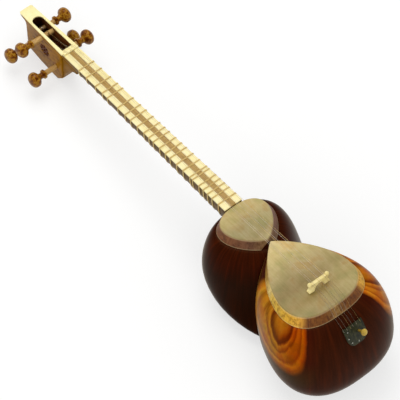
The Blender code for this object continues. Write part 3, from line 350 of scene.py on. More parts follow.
def lacquered_mulberry(name, flames):
    """Lacquered mulberry: dark heartwood in faint streaks, with or without the sapwood's flames."""
    material, tree, shader, mm = open_finish(
        name, Roughness=0.30, Specular_IOR_Level=0.05, Specular_Tint=AMBER, Coat_Weight=0.015,
        Coat_Roughness=0.07, Coat_IOR=1.45, Sheen_Weight=0.24, Sheen_Roughness=0.34,
        Sheen_Tint=linear("#C09840"))
    heading, depth = heading_and_depth(tree, mm, LARGE_MIDDLE if flames else SMALL_MIDDLE, RIGHT_FLAME_TURN if flames else 0)
    # Vessels run up and down the bowl: streaks 4 degrees wide, many times longer
    down = node(tree, "Math", {0: depth, 1: 0.05}, operation="MULTIPLY")
    fibre = node(tree, "CombineXYZ", {"X": heading, "Y": down})
    streaks = node(tree, "TexNoise", {"Vector": fibre, "Scale": 0.25, "Detail": 6.0, "Roughness": 0.62})
    wood = node(tree, "ValToRGB", {"Fac": streaks}, stops=(
        (0.30, "#2A0E05"), (0.45, "#321207"), (0.58, "#3C1608"), (0.72, "#4A1B08"), (0.85, "#361208")))
    upright = node(tree, "Mapping", {"Vector": mm, "Scale": (1.0, 1.0, 0.06)})
    fine = node(tree, "TexNoise", {"Vector": upright, "Scale": 0.9, "Detail": 4.0, "Roughness": 0.6})
    if flames:
        ring = growth_ring(tree, mm, heading, depth)
        jitter = node(tree, "Math", {0: streaks, 1: 0.14, 2: -0.07}, operation="MULTIPLY_ADD")
        ruffled = node(tree, "Math", {0: ring, 1: jitter}, operation="ADD")
        # Each year's wood darkens slowly to its late wood and pales again
        years = node(tree, "ValToRGB", {"Fac": ruffled}, stops=(
            (0.0, "#A84C24"), (0.09, "#C47848"), (0.17, "#E0B480"), (0.30, "#D8B07C"), (0.37, "#BC8858"),
            (0.43, "#84482A"), (0.485, "#6C2C16"), (0.515, "#A8744A"), (0.55, "#F4DCB0"), (0.60, "#D8B484"),
            (0.65, "#AE8256"), (0.695, "#F4E0B8"), (0.76, "#E8CC9C"), (0.82, "#BE9460"), (0.87, "#FFF2D4"),
            (0.93, "#F0D4A4"), (0.97, "#DCB480"), (1.03, "#F0C890")))
        hue = node(tree, "TexNoise", {"Vector": mm, "Scale": 0.045, "Detail": 2.0})
        mixed = node(tree, "ValToRGB", {"Fac": hue}, stops=((0.36, "#F4D8C0"), (0.50, "#FFFFFF"), (0.64, "#E8F0D0")))
        towards_tail = node(tree, "MapRange", {"Value": heading, "From Min": 113.0, "From Max": 131.0},
                            interpolation_type="SMOOTHSTEP")
        zone = node(tree, "Mix", {"Factor": towards_tail, "A": "#C4902A", "B": "#B45804"}, data_type="RGBA")
        golden = node(tree, "MapRange", {"Value": depth, "From Min": 45.0, "From Max": 82.0, "To Max": 0.6})
        zone = node(tree, "Mix", {"Factor": golden, "A": zone, "B": "#C07A14"}, data_type="RGBA")
        # The right flame is paler and more golden than the left one
        across = node(tree, "SeparateXYZ", {"Vector": mm}).outputs["Y"]
        right = node(tree, "MapRange", {"Value": across, "From Min": 0.0, "From Max": -40.0, "To Max": 0.8})
        zone = node(tree, "Mix", {"Factor": right, "A": zone, "B": "#D8922A"}, data_type="RGBA")
        ringed = node(tree, "Mix", {"Factor": 0.92, "A": zone, "B": years}, data_type="RGBA", blend_type="MULTIPLY")
        sap = node(tree, "Mix", {"Factor": 1.0, "A": ringed, "B": mixed}, data_type="RGBA", blend_type="MULTIPLY")
        # The change to heartwood is soft, over 3 degrees at the side and 15 mm at the bottom
        soft = node(tree, "MapRange", {"Value": depth, "From Min": 40.0, "From Max": 90.0, "To Min": 0.07, "To Max": 0.13})
        inside = node(tree, "Math", {0: 1.0, 1: ring}, operation="SUBTRACT")
        share = node(tree, "Math", {0: inside, 1: soft}, operation="DIVIDE")
        jacket = node(tree, "MapRange", {"Value": share, "From Min": -1.0, "From Max": 1.0},
                      interpolation_type="SMOOTHSTEP")
        # Next to the flame the heartwood is red beside its upright edge; low on the bowl it is tinted olive, a painted
        # reflection of the floor
        beside = node(tree, "MapRange", {"Value": ring, "From Min": 1.5, "From Max": 1.0, "To Max": 0.75})
        low = node(tree, "MapRange", {"Value": depth, "From Min": 60.0, "From Max": 110.0})
        red_wood_olive_reflection = node(tree, "Mix", {"Factor": low, "A": "#3C0D06", "B": "#3E3416"}, data_type="RGBA")
        wood = node(tree, "Mix", {"Factor": beside, "A": wood, "B": red_wood_olive_reflection}, data_type="RGBA")
        wood = node(tree, "Mix", {"Factor": jacket, "A": wood, "B": sap}, data_type="RGBA")
    else:       # the small bowl is redder above and nearly black below
        # Painted shade: the colour is darkened towards the keel, where the bowl turns away from the light
        level = node(tree, "MapRange", {"Value": depth, "From Min": 0.0, "From Max": 100.0})
        painted_shade = node(tree, "ValToRGB", {"Fac": level}, stops=((0.15, "#FFF4E0"), (0.35, "#F0C4B0"), (0.7, "#A89C80")))
        wood = node(tree, "Mix", {"Factor": 1.0, "A": wood, "B": painted_shade}, data_type="RGBA", blend_type="MULTIPLY")
    speck = node(tree, "ValToRGB", {"Fac": fine}, stops=((0.35, 0.86), (0.62, 1.0)))
    grained = node(tree, "Mix", {"Factor": 1.0, "A": wood, "B": speck}, data_type="RGBA", blend_type="MULTIPLY")
    pores = node(tree, "Bump", {"Height": fine, "Strength": 0.04, "Distance": 0.0004})
    node(tree, shader, {"Base Color": grained, "Normal": pores})
    return material


mulberry = [lacquered_mulberry("mulberry_flamed", True), lacquered_mulberry("mulberry_heartwood", False)]
print("mulberry: the flames reach", FLAME_DEPTH, "mm down the large bowl")

# %% [markdown]
# ## The bowls
# Each bowl is a teardrop seen from above. It swells out below the rim and closes to a keel. The
# outline is one smooth formula, and a row of scaled outlines gives the whole bowl, so two short
# tables of numbers hold the entire body. The halves are hollowed, as a carver does, to 5.5 mm.

# %% Shape of the two bowls
LARGE_BOWL = dict(
    tail=-0.0452, length=0.1667, half_width=0.0723, tail_power=0.36, tip_power=0.87,
    centre=0.0784, swell=1.581, swell_depth=0.098, depth=0.1810, roundness=0.743, keel_shift=-0.0414,
    tail_fullness=0.41, lateness=1, tip_draw=0.72, tip_spread=0.30, draw_power=5.8)
SMALL_BOWL = dict(
    tail=0.1314, length=0.0866, half_width=0.0460, tail_power=0.76, tip_power=0.40,
    centre=0.0652, swell=2.01, swell_depth=0.117, depth=0.1680, roundness=0.70, keel_shift=-0.088,
    tail_fullness=0.15, lateness=5, tip_draw=0.0, tip_spread=0.0, draw_power=1.0)
DRAW_END = 0.93
BORDER_REACH, BORDER_DROP = 0.0084, 0.0155      # skin glued over the rim: outwards and downwards
WALL = 0.0055
RIM_POINTS, SWELL_LEVELS, KEEL_LEVELS = 44, 14, 14


def sunk(bowl, down):
    """How far the bowl has changed from its skin's outline (0) to its keel's (1) at a depth."""
    return (down / bowl["depth"]) ** bowl["lateness"]


def outline_of(bowl, down, points=RIM_POINTS):
    """One side of a bowl's outline at a depth, before it swells: x and y."""
    share = (1 - np.cos(np.linspace(0, math.pi, points + 1))) / 2
    tail_power = bowl["tail_power"] + (bowl["tail_fullness"] - bowl["tail_power"]) * sunk(bowl, down)
    widest = tail_power / (tail_power + bowl["tip_power"])
    peak = widest ** tail_power * (1 - widest) ** bowl["tip_power"]
    side = bowl["half_width"] * share ** tail_power * (1 - share) ** bowl["tip_power"] / peak
    side[0] = side[-1] = 0.0
    return bowl["tail"] + bowl["length"] * share, side


def swollen(bowl, x, scale, down):
    """x after swelling, and how much y grows. Towards its tip the bowl is drawn in and spread."""
    centre = bowl["tail"] + bowl["centre"]
    ahead = np.clip((x - centre) / (bowl["length"] - bowl["centre"]), 0.0, 1.0)
    drawn = max(1 - (down / (DRAW_END * bowl["depth"])) ** bowl["draw_power"], 0.0) if scale > 1 else 0.0
    tip = ahead ** 2 * (3 - 2 * ahead) * drawn
    lengthwise = 1 + (scale - 1) * (1 - bowl["tip_draw"] * tip)
    sideways = 1 + (scale - 1) * (1 + bowl["tip_spread"] * tip)
    return centre + (x - centre) * lengthwise + bowl["keel_shift"] * sunk(bowl, down), sideways


def bowl_profile(bowl, depth_inset, swell_levels=SWELL_LEVELS, keel_levels=KEEL_LEVELS):
    """Scale of the outline and its depth, from the rim down to the keel point."""
    shrink = depth_inset / bowl["half_width"]
    border = 1.0 + BORDER_REACH / bowl["half_width"] - shrink
    widest = bowl["swell"] - shrink
    depth = bowl["depth"] - depth_inset
    turn = np.linspace(0, math.pi / 2, swell_levels + 1)
    swell = border + (widest - border) * np.sin(turn)
    swell_z = BORDER_DROP + (bowl["swell_depth"] - BORDER_DROP) * (1 - np.cos(turn))
    turn = np.linspace(0, math.pi / 2, keel_levels + 1)[1:]
    keel = widest * np.clip(np.cos(turn), 0.0, 1.0) ** bowl["roundness"]
    keel_z = bowl["swell_depth"] + (depth - bowl["swell_depth"]) * np.sin(turn) ** bowl["roundness"]
    keel[-1] = 0.0
    return np.concatenate([[1.0 - shrink], swell, keel]), np.concatenate([[0.0], swell_z, keel_z])


def bowl_ring(bowl, scale, down, lift=0.0, points=RIM_POINTS):
    """One closed level of a bowl."""
    along, side = outline_of(bowl, down, points)
    x, sideways = swollen(bowl, along, scale, down)
    y = side * sideways
    left = [(x[i], y[i], lift - down) for i in range(len(x))]
    return left + [(x[i], -y[i], lift - down) for i in range(len(x) - 2, 0, -1)]


def whole_bowl(name, bowl, depth_inset=0.0, lift=0.0):
    """A bowl as a solid, from above its rim down to its keel point."""
    scales, depths = bowl_profile(bowl, depth_inset)
    rings = [bowl_ring(bowl, scales[i], depths[i]) for i in range(len(scales) - 1)]
    if lift:
        rings.insert(0, [(x, y, lift) for x, y, z in rings[0]])
    points, faces = join_rings(rings)
    keel_x, _ = swollen(bowl, bowl["tail"] + bowl["centre"], 0.0, depths[-1])
    points.append((keel_x, 0.0, -depths[-1]))
    low = faces.pop()
    faces += [(low[i], low[(i + 1) % len(low)], len(points) - 1) for i in range(len(low))]
    return make_mesh(name, points, faces)

# %% The tail end, which carries the tailpiece
def tail_x(y, down):
    """x of the large bowl's face at its tail end."""
    scales, depths = bowl_profile(LARGE_BOWL, 0.0, 60, 60)
    scale = float(np.interp(down, depths, scales))
    along, side = outline_of(LARGE_BOWL, down, 400)
    widest = int(np.argmax(side))
    x = float(np.interp(abs(y) / scale, side[:widest], along[:widest]))
    return swollen(LARGE_BOWL, x, scale, down)[0]


def tail_normal(y, down):
    """Direction straight out of the tail end."""
    step = 0.001
    centre = Vector((tail_x(y, down), y, -down))
    across = Vector((tail_x(y + step, down), y + step, -down)) - centre
    below = Vector((tail_x(y, down + step), y, -down - step)) - centre
    normal = across.cross(below).normalized()
    return normal if normal.x < 0 else -normal


def on_tail(y, down, out):
    """A point standing off the tail end by out."""
    return Vector((tail_x(y, down), y, -down)) + tail_normal(y, down) * out


TAILPIECE_TOP = 0.0270      # depth of the tailpiece's upper edge below the rim
NAIL_SPOTS = ((0.0100, 0.0056), (0.0126, 0.0148), (0.0092, 0.0230), (-0.0040, 0.0262))
KNOB_SPOT = (-0.0110, 0.0128)


def tail_place(spot):
    """Where a nail or the knob stands: sideways, and below the top of the tailpiece."""
    y, down = spot[0], TAILPIECE_TOP + spot[1]
    turn = tail_normal(y, down).to_track_quat("Z", "Y").to_matrix().to_4x4()
    return Matrix.Translation(on_tail(y, down, 0.0)) @ turn


def drill_tail(piece, clearance):
    """Drill for the nails and the knob."""
    for spot, radius in [(spot, 0.0006) for spot in NAIL_SPOTS] + [(KNOB_SPOT, 0.0023)]:
        drill = turned("drill", ((-0.02, radius + clearance), (0.02, radius + clearance)), 20, tail_place(spot))
        combine(piece, drill)

# %% The neck's taper, which the body is cut to fit
SCALE_LENGTH = 0.660
NECK_END, NECK_REACH = 0.2190, 0.6695
NECK_TOP = 0.001
BOARD_TOP = 0.0043


def neck_half_width(x):
    """Half-width of the neck at x."""
    return (0.0374 + (0.0318 - 0.0374) * (x - NECK_END) / (SCALE_LENGTH - NECK_END)) / 2


def neck_depth(x):
    """Depth of the neck at x, from its flat face to its back."""
    return 0.040 + (0.019 - 0.040) * (x - NECK_END) / (SCALE_LENGTH - NECK_END)


def neck_back(x, grow, steps=36):
    """Rounded back of the neck from its left edge under it to its right edge."""
    width, depth = neck_half_width(x) + grow, neck_depth(x) + grow
    ring = []
    for turn in np.linspace(0, math.pi, steps + 1):
        cosine, sine = math.cos(turn), max(math.sin(turn), 0.0)
        ring.append((x, width * math.copysign(abs(cosine) ** 0.8, cosine), NECK_TOP - depth * sine ** 0.8))
    return ring


def neck_solid(name, start, end, grow):
    """The neck between two ends, grown on every side."""
    rings = []
    for x in np.linspace(start, end, 24):
        ring = neck_back(x, grow)
        if grow:
            ring = [(x, ring[0][1], NECK_TOP + 0.02), *ring, (x, ring[-1][1], NECK_TOP + 0.02)]
        rings.append(ring)
    return from_rings(name, rings)


def block(name, low, high):
    """A plain block between two corners, used to cut with."""
    (x0, y0, z0), (x1, y1, z1) = low, high
    return from_rings(name, [[(x0, y0, z), (x1, y0, z), (x1, y1, z), (x0, y1, z)] for z in (z0, z1)])


def tenon(name, grow):
    """Tongue of the neck in the body."""
    return block(name, (0.195 - grow, -0.009 - grow, -0.027 - grow), (0.225, 0.009 + grow, -0.007 + grow))

# %% Carve the body and split it in two
wood_of_body, smaller = whole_bowl("bowls", LARGE_BOWL), whole_bowl("small", SMALL_BOWL)
for piece in (wood_of_body, smaller):
    for finish in mulberry:
        piece.data.materials.append(finish)
for face in smaller.data.polygons:
    face.material_index = 1         # no flames on the small bowl
combine(wood_of_body, smaller, "UNION")
hollow = whole_bowl("hollow", LARGE_BOWL, WALL, 0.01)
combine(hollow, whole_bowl("small_hollow", SMALL_BOWL, WALL, 0.01), "UNION")
combine(hollow, block("neck_block", (0.196, -0.023, -0.046), (0.240, 0.023, 0.02)))
combine(wood_of_body, hollow)
combine(wood_of_body, neck_solid("neck_seat", NECK_END - GAP, 0.31, GAP))
combine(wood_of_body, tenon("mortise", GAP))
drill_tail(wood_of_body, GAP)
BEYOND = 0.5
SEAM = 0.00001              # the halves are glued, so hardly a line shows
for name, node_name, low, high in (("carved_half_left", "body_left_half", SEAM, BEYOND),
                                   ("carved_half_right", "body_right_half", -BEYOND, -SEAM)):
    half = bpy.data.objects.new(name, wood_of_body.data.copy())
    bpy.context.scene.collection.objects.link(half)
    combine(half, block("side", (-BEYOND, low, -BEYOND), (BEYOND, high, BEYOND)), "INTERSECT")
    put_in_place(half, mulberry, [node_name])
    for corner in half.data.vertices:       # the wood rests on the table with a tiny worn flat
        corner.co.z = max(corner.co.z, 0.0)
    flamed = sum(face.material_index == 0 for face in half.data.polygons)
    print(name, len(half.data.polygons), "faces,", flamed, "with flames or inside")
bpy.data.objects.remove(wood_of_body, do_unlink=True)

# %% [markdown]
# ## The skins
# The tar's voice is lambskin, soaked, stretched over the mouth and glued down over the rim. It is so
# thin that it takes the colour of what is under it: smoky gold over the hollow and paler towards
# the tips, where it nears the wood, bright gold over sapwood and brown over heartwood. Pulling it
# down leaves small pleats in the border, drawn with painted shade, and a pale painted highlight
# runs along its fold and its cut edge.

# %% Lambskin, stretched and glued
# Colours along both drumheads, by millimetres from the bridge
DRUMHEAD = ((-42, "#A39161"), (-25, "#A89662"), (-10, "#A28A54"), (6, "#9C8A55"), (20, "#957F4D"), (35, "#9E8A58"),
            (50, "#AD9A68"), (65, "#B9A671"), (80, "#C6B37A"), (100, "#D6C084"), (121, "#DCC890"), (131, "#B0A070"),
            (145, "#A39062"), (160, "#A7986A"), (172, "#A59868"), (182, "#AD9C6A"), (192, "#BAA76F"), (215, "#C8B47A"))


def lambskin_finish(name, middle, right_turn, over_wood):
    """Stretched lambskin. Over_wood gives the border's colours by heading, in degrees."""
    material, tree, shader, mm = open_finish(name, Roughness=0.50, Specular_IOR_Level=0.35)
    part = node(tree, "SeparateXYZ", {"Vector": mm})
    heading, depth = heading_and_depth(tree, mm, middle, right_turn)
    cloud = node(tree, "TexNoise", {"Vector": mm, "Scale": 0.035, "Detail": 5.0, "Roughness": 0.6})
    swirl = node(tree, "Math", {0: cloud, 1: 30.0, 2: part.outputs["X"]}, operation="MULTIPLY_ADD")
    place = node(tree, "MapRange", {"Value": swirl, "From Min": -35.0, "From Max": 240.0})
    along = node(tree, "ValToRGB", {"Fac": place}, stops=[((x + 50) / 275, colour) for x, colour in DRUMHEAD])
    # The right half, away from the player's hand, stayed a little lighter
    rightwards = node(tree, "MapRange", {"Value": part.outputs["Y"], "From Min": 20.0, "From Max": -60.0, "To Max": 0.30})
    even = node(tree, "Mix", {"Factor": rightwards, "A": along, "B": "#D2BE84"}, data_type="RGBA")
    # Smoky patches, greenish where the skin is thin, and faint lines where it was stretched
    patches = node(tree, "TexNoise", {"Vector": mm, "Scale": 0.03, "Detail": 4.0, "Roughness": 0.52})
    smoke = node(tree, "ValToRGB", {"Fac": patches}, stops=(
        (0.34, "#E2EAD2"), (0.46, "#F6F6E8"), (0.54, "#FFFFFF"), (0.64, "#FAECD6"), (0.74, "#FFF6E0")))
    smoked = node(tree, "Mix", {"Factor": 1.0, "A": even, "B": smoke}, data_type="RGBA", blend_type="MULTIPLY")
    pulled = node(tree, "TexNoise", {"Vector": node(tree, "Mapping", {"Vector": mm, "Scale": (0.05, 1.0, 1.0)}),
                                     "Scale": 0.45, "Detail": 3.0})
    lines = node(tree, "ValToRGB", {"Fac": pulled}, stops=((0.38, "#F6F2EA"), (0.60, "#FFFFFF")))
    drumhead = node(tree, "Mix", {"Factor": 1.0, "A": smoked, "B": lines}, data_type="RGBA", blend_type="MULTIPLY")
    blotch =node(tree, "TexNoise", {"Vector": mm, "Scale": 0.13, "Detail": 4.0, "Roughness": 0.65})
    strayed = node(tree, "Math", {0: blotch, 1: 12.0, 2: heading}, operation="MULTIPLY_ADD")
    turn = node(tree, "MapRange", {"Value": strayed, "From Min": 6.0, "From Max": 186.0})
    under = node(tree, "ValToRGB", {"Fac": turn}, stops=[(place / 180, colour) for place, colour in over_wood])
    # Pleats: narrow bands of painted shade that run down the border, 1 to 2 degrees wide
    down = node(tree, "Math", {0: depth, 1: 0.03}, operation="MULTIPLY")
    pleats = node(tree, "TexNoise", {"Vector": node(tree, "CombineXYZ", {"X": heading, "Y": down}), "Scale": 0.7,
                                     "Detail": 5.0, "Roughness": 0.7})
    painted_shade = node(tree, "ValToRGB", {"Fac": pleats}, stops=((0.32, "#B8A890"), (0.48, "#F0E8DC"), (0.64, "#FFFFFF")))
    pleated = node(tree, "Mix", {"Factor": 1.0, "A": under, "B": painted_shade}, data_type="RGBA", blend_type="MULTIPLY")
    mottle = node(tree, "ValToRGB", {"Fac": blotch}, stops=((0.36, "#B4A478"), (0.46, "#E4DCC4"), (0.56, "#FFFFFF")))
    border = node(tree, "Mix", {"Factor": 0.9, "A": pleated, "B": mottle}, data_type="RGBA", blend_type="MULTIPLY")
    level = node(tree, "MapRange", {"Value": depth, "From Min": -2.0, "From Max": 18.0})
    # Painted highlight: a pale line along the fold over the rim and along the cut edge
    painted_highlight_line = node(tree, "ValToRGB", {"Fac": level}, stops=((0.095, 0.0), (0.12, 0.4), (0.16, 0.3), (0.22, 0.0),
                                                         (0.78, 0.0), (0.835, 0.35)))
    edged = node(tree, "Mix", {"Factor": painted_highlight_line, "A": border, "B": "#D9C490"}, data_type="RGBA")
    over_rim = node(tree, "ValToRGB", {"Fac": level}, stops=((0.09, 0.0), (0.12, 1.0)))
    skin_colour = node(tree, "Mix", {"Factor": over_rim, "A": drumhead, "B": edged}, data_type="RGBA")
    # Follicles 0.8 mm apart, drawn a little coarser than they are
    follicles = node(tree, "TexVoronoi", {"Vector": mm, "Scale": 0.9})
    creases = node(tree, "TexNoise", {"Vector": mm, "Scale": 0.25, "Detail": 4.0})
    raised = node(tree, "Math", {0: follicles, 1: 0.3, 2: creases}, operation="MULTIPLY_ADD")
    folds = node(tree, "Math", {0: pleats, 1: over_rim}, operation="MULTIPLY")
    surface = node(tree, "Math", {0: folds, 1: 2.5, 2: raised}, operation="MULTIPLY_ADD")
    rough = node(tree, "Bump", {"Height": surface, "Strength": 0.2, "Distance": 0.0004})
    node(tree, shader, {"Base Color": skin_colour, "Normal": rough})
    return material


large_lambskin = lambskin_finish("lambskin_over_sapwood", LARGE_MIDDLE, RIGHT_FLAME_TURN, (
    (0, "#A07C44"), (45, "#C49E48"), (66, "#DCBC64"), (78, "#F6E090"), (88, "#ECC850"), (108, "#E4BC40"),
    (120, "#ECBC38"), (129, "#F2BE44"), (136, "#E6AC3C"), (141, "#865016"), (163, "#7C4A10"), (180, "#A07C44")))
small_lambskin = lambskin_finish("lambskin_over_heartwood", SMALL_MIDDLE, 0.0, (
    (0, "#8C6238"), (60, "#86552F"), (95, "#7E4E2C"), (140, "#764E34"), (180, "#8E6E44")))

# %% Stretch both skins
SKIN_TOP = 0.0010
SKIN_THICKNESS = 0.0007
SLOPE = math.hypot(BORDER_REACH, BORDER_DROP)
RISE, SPREAD = BORDER_REACH / SLOPE, BORDER_DROP / SLOPE


def stretch_skin(name, bowl, limit):
    """A skin: flat over the mouth, folded softly over the rim and glued down the border."""
    half = bowl["half_width"]

    def level(out, down, lift):
        """Ring that stands out from the rim by out and lies down below it, raised by lift."""
        return bowl_ring(bowl, 1.0 + out / half, max(down, 0.0), lift, 88)

    inner = GAP + 0.0002
    outer = inner + SKIN_THICKNESS
    rings = [[(x, y, SKIN_TOP) for x, y, z in bowl_ring(bowl, s, 0.0, 0.0, 88)]
             for s in (0.05, 0.25, 0.5, 0.72, 0.88)]
    fold = [np.array(p) for p in ((-0.0006, SKIN_TOP), (0.0008, SKIN_TOP), (0.00145, -0.0002))]
    for t in np.linspace(0, 1, 5):
        out, z = fold[0] * (1 - t) ** 2 + 2 * fold[1] * t * (1 - t) + fold[2] * t ** 2
        rings.append([(x, y, z) for x, y, _ in level(out, 0.0, 0.0)])
    for t in np.linspace(0.12, 1.0, 8):
        out = BORDER_REACH * t + outer * SPREAD
        rings.append(level(out, BORDER_DROP * t, outer * RISE))
    for t in (1.0, 0.5, 0.02):
        rings.append(level(BORDER_REACH * t + inner * SPREAD, BORDER_DROP * t, inner * RISE))
    rings.append([(x, y, GAP) for x, y, z in level(inner, 0.0, 0.0)])
    rings += [[(x, y, GAP) for x, y, z in bowl_ring(bowl, s, 0.0, 0.0, 88)] for s in (0.6, 0.05)]
    skin = from_rings(name, rings, sharp=50.0)
    combine(skin, block("limit", *limit), "INTERSECT")
    return skin


WAIST = 0.1314 - 0.0099 / 2
skin_of_large = stretch_skin("lambskin_large", LARGE_BOWL, ((-0.5, -0.5, -0.5), (WAIST - GAP / 2, 0.5, 0.5)))
skin_of_small = stretch_skin("lambskin_small", SMALL_BOWL, ((WAIST + GAP / 2, -0.5, -0.5), (0.5, 0.5, 0.5)))
combine(skin_of_large, whole_bowl("neighbour", SMALL_BOWL, -2 * GAP))
combine(skin_of_small, whole_bowl("neighbour", LARGE_BOWL, -2 * GAP))
edge_of_neck = 0.0187 + GAP
combine(skin_of_small, block("notch", (NECK_END - GAP, -edge_of_neck, -0.5), (0.5, edge_of_neck, 0.5)))
put_in_place(skin_of_large, large_lambskin, ["skin_large"])
put_in_place(skin_of_small, small_lambskin, ["skin_small"])
print("skins:", len(skin_of_large.data.polygons), len(skin_of_small.data.polygons), "faces")

# %% [markdown]
# ## Walnut neck and pegbox
# The neck is dark walnut, planed and oiled, with a carved bracket under the nut. Walnut's grain runs
# along the neck, so its noise is stretched along x, and it pales towards the nut, where the board
# came from nearer to the sapwood. The pegbox is golden, mottled walnut. The inside of its slot was
# stained red-brown and is darkened towards its far end with painted shade, and the cheek is darker
# brown in a ring round each peg.

# %% Walnut for the neck
walnut, tree, shader, mm = open_finish("walnut_oiled", Roughness=0.40, Specular_IOR_Level=0.10, Specular_Tint=AMBER,
                                       Coat_Weight=0.02, Coat_Roughness=0.2)
part = node(tree, "SeparateXYZ", {"Vector": mm})
fibre = node(tree, "Mapping", {"Vector": mm, "Scale": (0.06, 1.0, 1.0)})
figure = node(tree, "TexNoise", {"Vector": fibre, "Scale": 0.35, "Detail": 6.0, "Roughness": 0.65})
pores = node(tree, "TexNoise", {"Vector": fibre, "Scale": 2.2, "Detail": 3.0})
dark_board = node(tree, "ValToRGB", {"Fac": figure}, stops=(
    (0.30, "#44300F"), (0.46, "#644818"), (0.58, "#7E6028"), (0.72, "#5A4218")))
pale_end = node(tree, "ValToRGB", {"Fac": figure}, stops=(
    (0.30, "#70480C"), (0.46, "#8E6010"), (0.58, "#A07018"), (0.72, "#84560C")))
to_nut = node(tree, "MapRange", {"Value": part.outputs["X"], "From Min": 615.0, "From Max": 650.0})
tone = node(tree, "Mix", {"Factor": to_nut, "A": dark_board, "B": pale_end}, data_type="RGBA")
flecks = node(tree, "ValToRGB", {"Fac": pores}, stops=((0.38, 0.7), (0.55, 1.0)))
oiled = node(tree, "Mix", {"Factor": 1.0, "A": tone, "B": flecks}, data_type="RGBA", blend_type="MULTIPLY")
open_grain = node(tree, "Bump", {"Height": pores, "Strength": 0.15, "Distance": 0.0003})
node(tree, shader, {"Base Color": oiled, "Normal": open_grain})

# %% Neck with its tenon and bracket
neck = neck_solid("neck_of_walnut", NECK_END, NECK_REACH, 0.0)
combine(neck, tenon("tongue", 0.0), "UNION")
HEEL_DEPTH, HEEL_LENGTH = 0.066, 0.041
fall = HEEL_DEPTH - 0.019
scallops = [(NECK_REACH, -HEEL_DEPTH)]
scallops += [(NECK_REACH - HEEL_LENGTH * a, -0.019 - fall * d)
             for a, d in ((0.12, 0.74), (0.34, 0.44), (0.55, 0.20), (0.76, 0.07), (1.0, 0.0))]
bracket = flowing(scallops, 6) + [(NECK_REACH - HEEL_LENGTH, -0.0104), (NECK_REACH, -0.0104)]
combine(neck, eased_prism("bracket", bracket, -0.0145, 0.0145, 1, 0.0012), "UNION")
put_in_place(neck, walnut, ["neck"])
print("neck:", round((NECK_REACH - NECK_END) * 1000), "mm long without its tenon")

# %% Pegs: where each one stands
SLOT_START, SLOT_END, SLOT_HALF = 0.6724, 0.7645, 0.0106
CHEEK, FAR_CHEEK = 0.0174, 0.0137       # half-width of the pegbox at the neck and at its far end
PEGS = {
    "peg_left_upper": dict(share=0.5907, depth=0.0070, reach=0.0420, side=1, over=True),
    "peg_left_far": dict(share=0.8806, depth=0.0422, reach=0.0481, side=1, over=True),
    "peg_left_near": dict(share=0.1672, depth=0.0495, reach=0.0467, side=1, over=False),
    "peg_right_far": dict(share=0.8426, depth=0.0190, reach=0.0368, side=-1, over=False),
    "peg_right_near": dict(share=0.1498, depth=0.0225, reach=0.0374, side=-1, over=True),
    "peg_right_lower": dict(share=0.5907, depth=0.0595, reach=0.0364, side=-1, over=True),
}


def along_slot(share):
    """x at a share of the slot's length, from the nut's end."""
    return SLOT_START + (SLOT_END - SLOT_START) * share


def peg_place(peg):
    """Frame on a peg's axis at its cheek, z pointing out to the head."""
    turn = Vector((0.0, peg["side"], 0.0)).to_track_quat("Z", "X").to_matrix().to_4x4()
    return Matrix.Translation((along_slot(peg["share"]), peg["side"] * CHEEK, -peg["depth"])) @ turn


SHAFT = CHEEK + SLOT_HALF + 0.0028      # from the cheek's face to the tip of the shaft


def shaft_radius(inward):
    """Radius of the tapered shaft, this far in from the cheek's face."""
    return 0.0050 - 0.0006 * inward / SHAFT


ROSETTE_X, ROSETTE_Z, ROSETTE_RADIUS = along_slot(0.5114), -0.0340, 0.0088

# %% Walnut for the pegbox
cheek_walnut, tree, shader, mm = open_finish("walnut_mottled", Roughness=0.38, Specular_IOR_Level=0.10,
                                             Specular_Tint=AMBER, Coat_Weight=0.02, Coat_Roughness=0.2)
part = node(tree, "SeparateXYZ", {"Vector": mm})
flat = node(tree, "CombineXYZ", {"X": part.outputs["X"], "Z": part.outputs["Z"]})
fibre = node(tree, "Mapping", {"Vector": mm, "Rotation": (0, 0.9, 0), "Scale": (0.25, 1.0, 1.0)})
figure = node(tree, "TexNoise", {"Vector": fibre, "Scale": 0.16, "Detail": 6.0, "Roughness": 0.7})
tone = node(tree, "ValToRGB", {"Fac": figure}, stops=(
    (0.35, "#5A3402"), (0.43, "#865606"), (0.50, "#B27C12"), (0.56, "#9A6608"), (0.66, "#6A3E04")))
# The cheek is darker brown in a ring round each peg hole
nearest_peg_distance = 100.0
for peg in PEGS.values():           # each on its own cheek
    spot = (along_slot(peg["share"]) * 1000, peg["side"] * CHEEK * 1000, -peg["depth"] * 1000)
    away = node(tree, "VectorMath", {0: mm, 1: spot}, operation="DISTANCE").outputs["Value"]
    nearest_peg_distance = node(tree, "Math", {0: away, 1: nearest_peg_distance}, operation="MINIMUM")
ruffled = node(tree, "Math", {0: figure, 1: 7.0, 2: nearest_peg_distance}, operation="MULTIPLY_ADD")
peg_ring_mask = node(tree, "ValToRGB", {"Fac": node(tree, "Math", {0: ruffled, 1: 0.05}, operation="MULTIPLY")},
              stops=((0.46, 0.9), (0.60, 0.0)))
darker_round_pegs = node(tree, "Mix", {"Factor": peg_ring_mask, "A": tone, "B": "#8A4F20"}, data_type="RGBA")
heart_of_rose = (ROSETTE_X * 1000, 0.0, ROSETTE_Z * 1000)
from_rose = node(tree, "VectorMath", {0: flat, 1: heart_of_rose}, operation="DISTANCE").outputs["Value"]
ragged = node(tree, "TexNoise", {"Vector": mm, "Scale": 0.45, "Detail": 2.0})
frayed = node(tree, "Math", {0: ragged, 1: 14.0, 2: from_rose}, operation="MULTIPLY_ADD")
rose = node(tree, "ValToRGB", {"Fac": node(tree, "Math", {0: frayed, 1: 0.03}, operation="MULTIPLY")},
            stops=((0.56, 0.9), (0.64, 0.0)))
carved = node(tree, "Mix", {"Factor": rose, "A": darker_round_pegs, "B": "#5C2206"}, data_type="RGBA")
side = node(tree, "Math", {0: part.outputs["Y"]}, operation="ABSOLUTE")
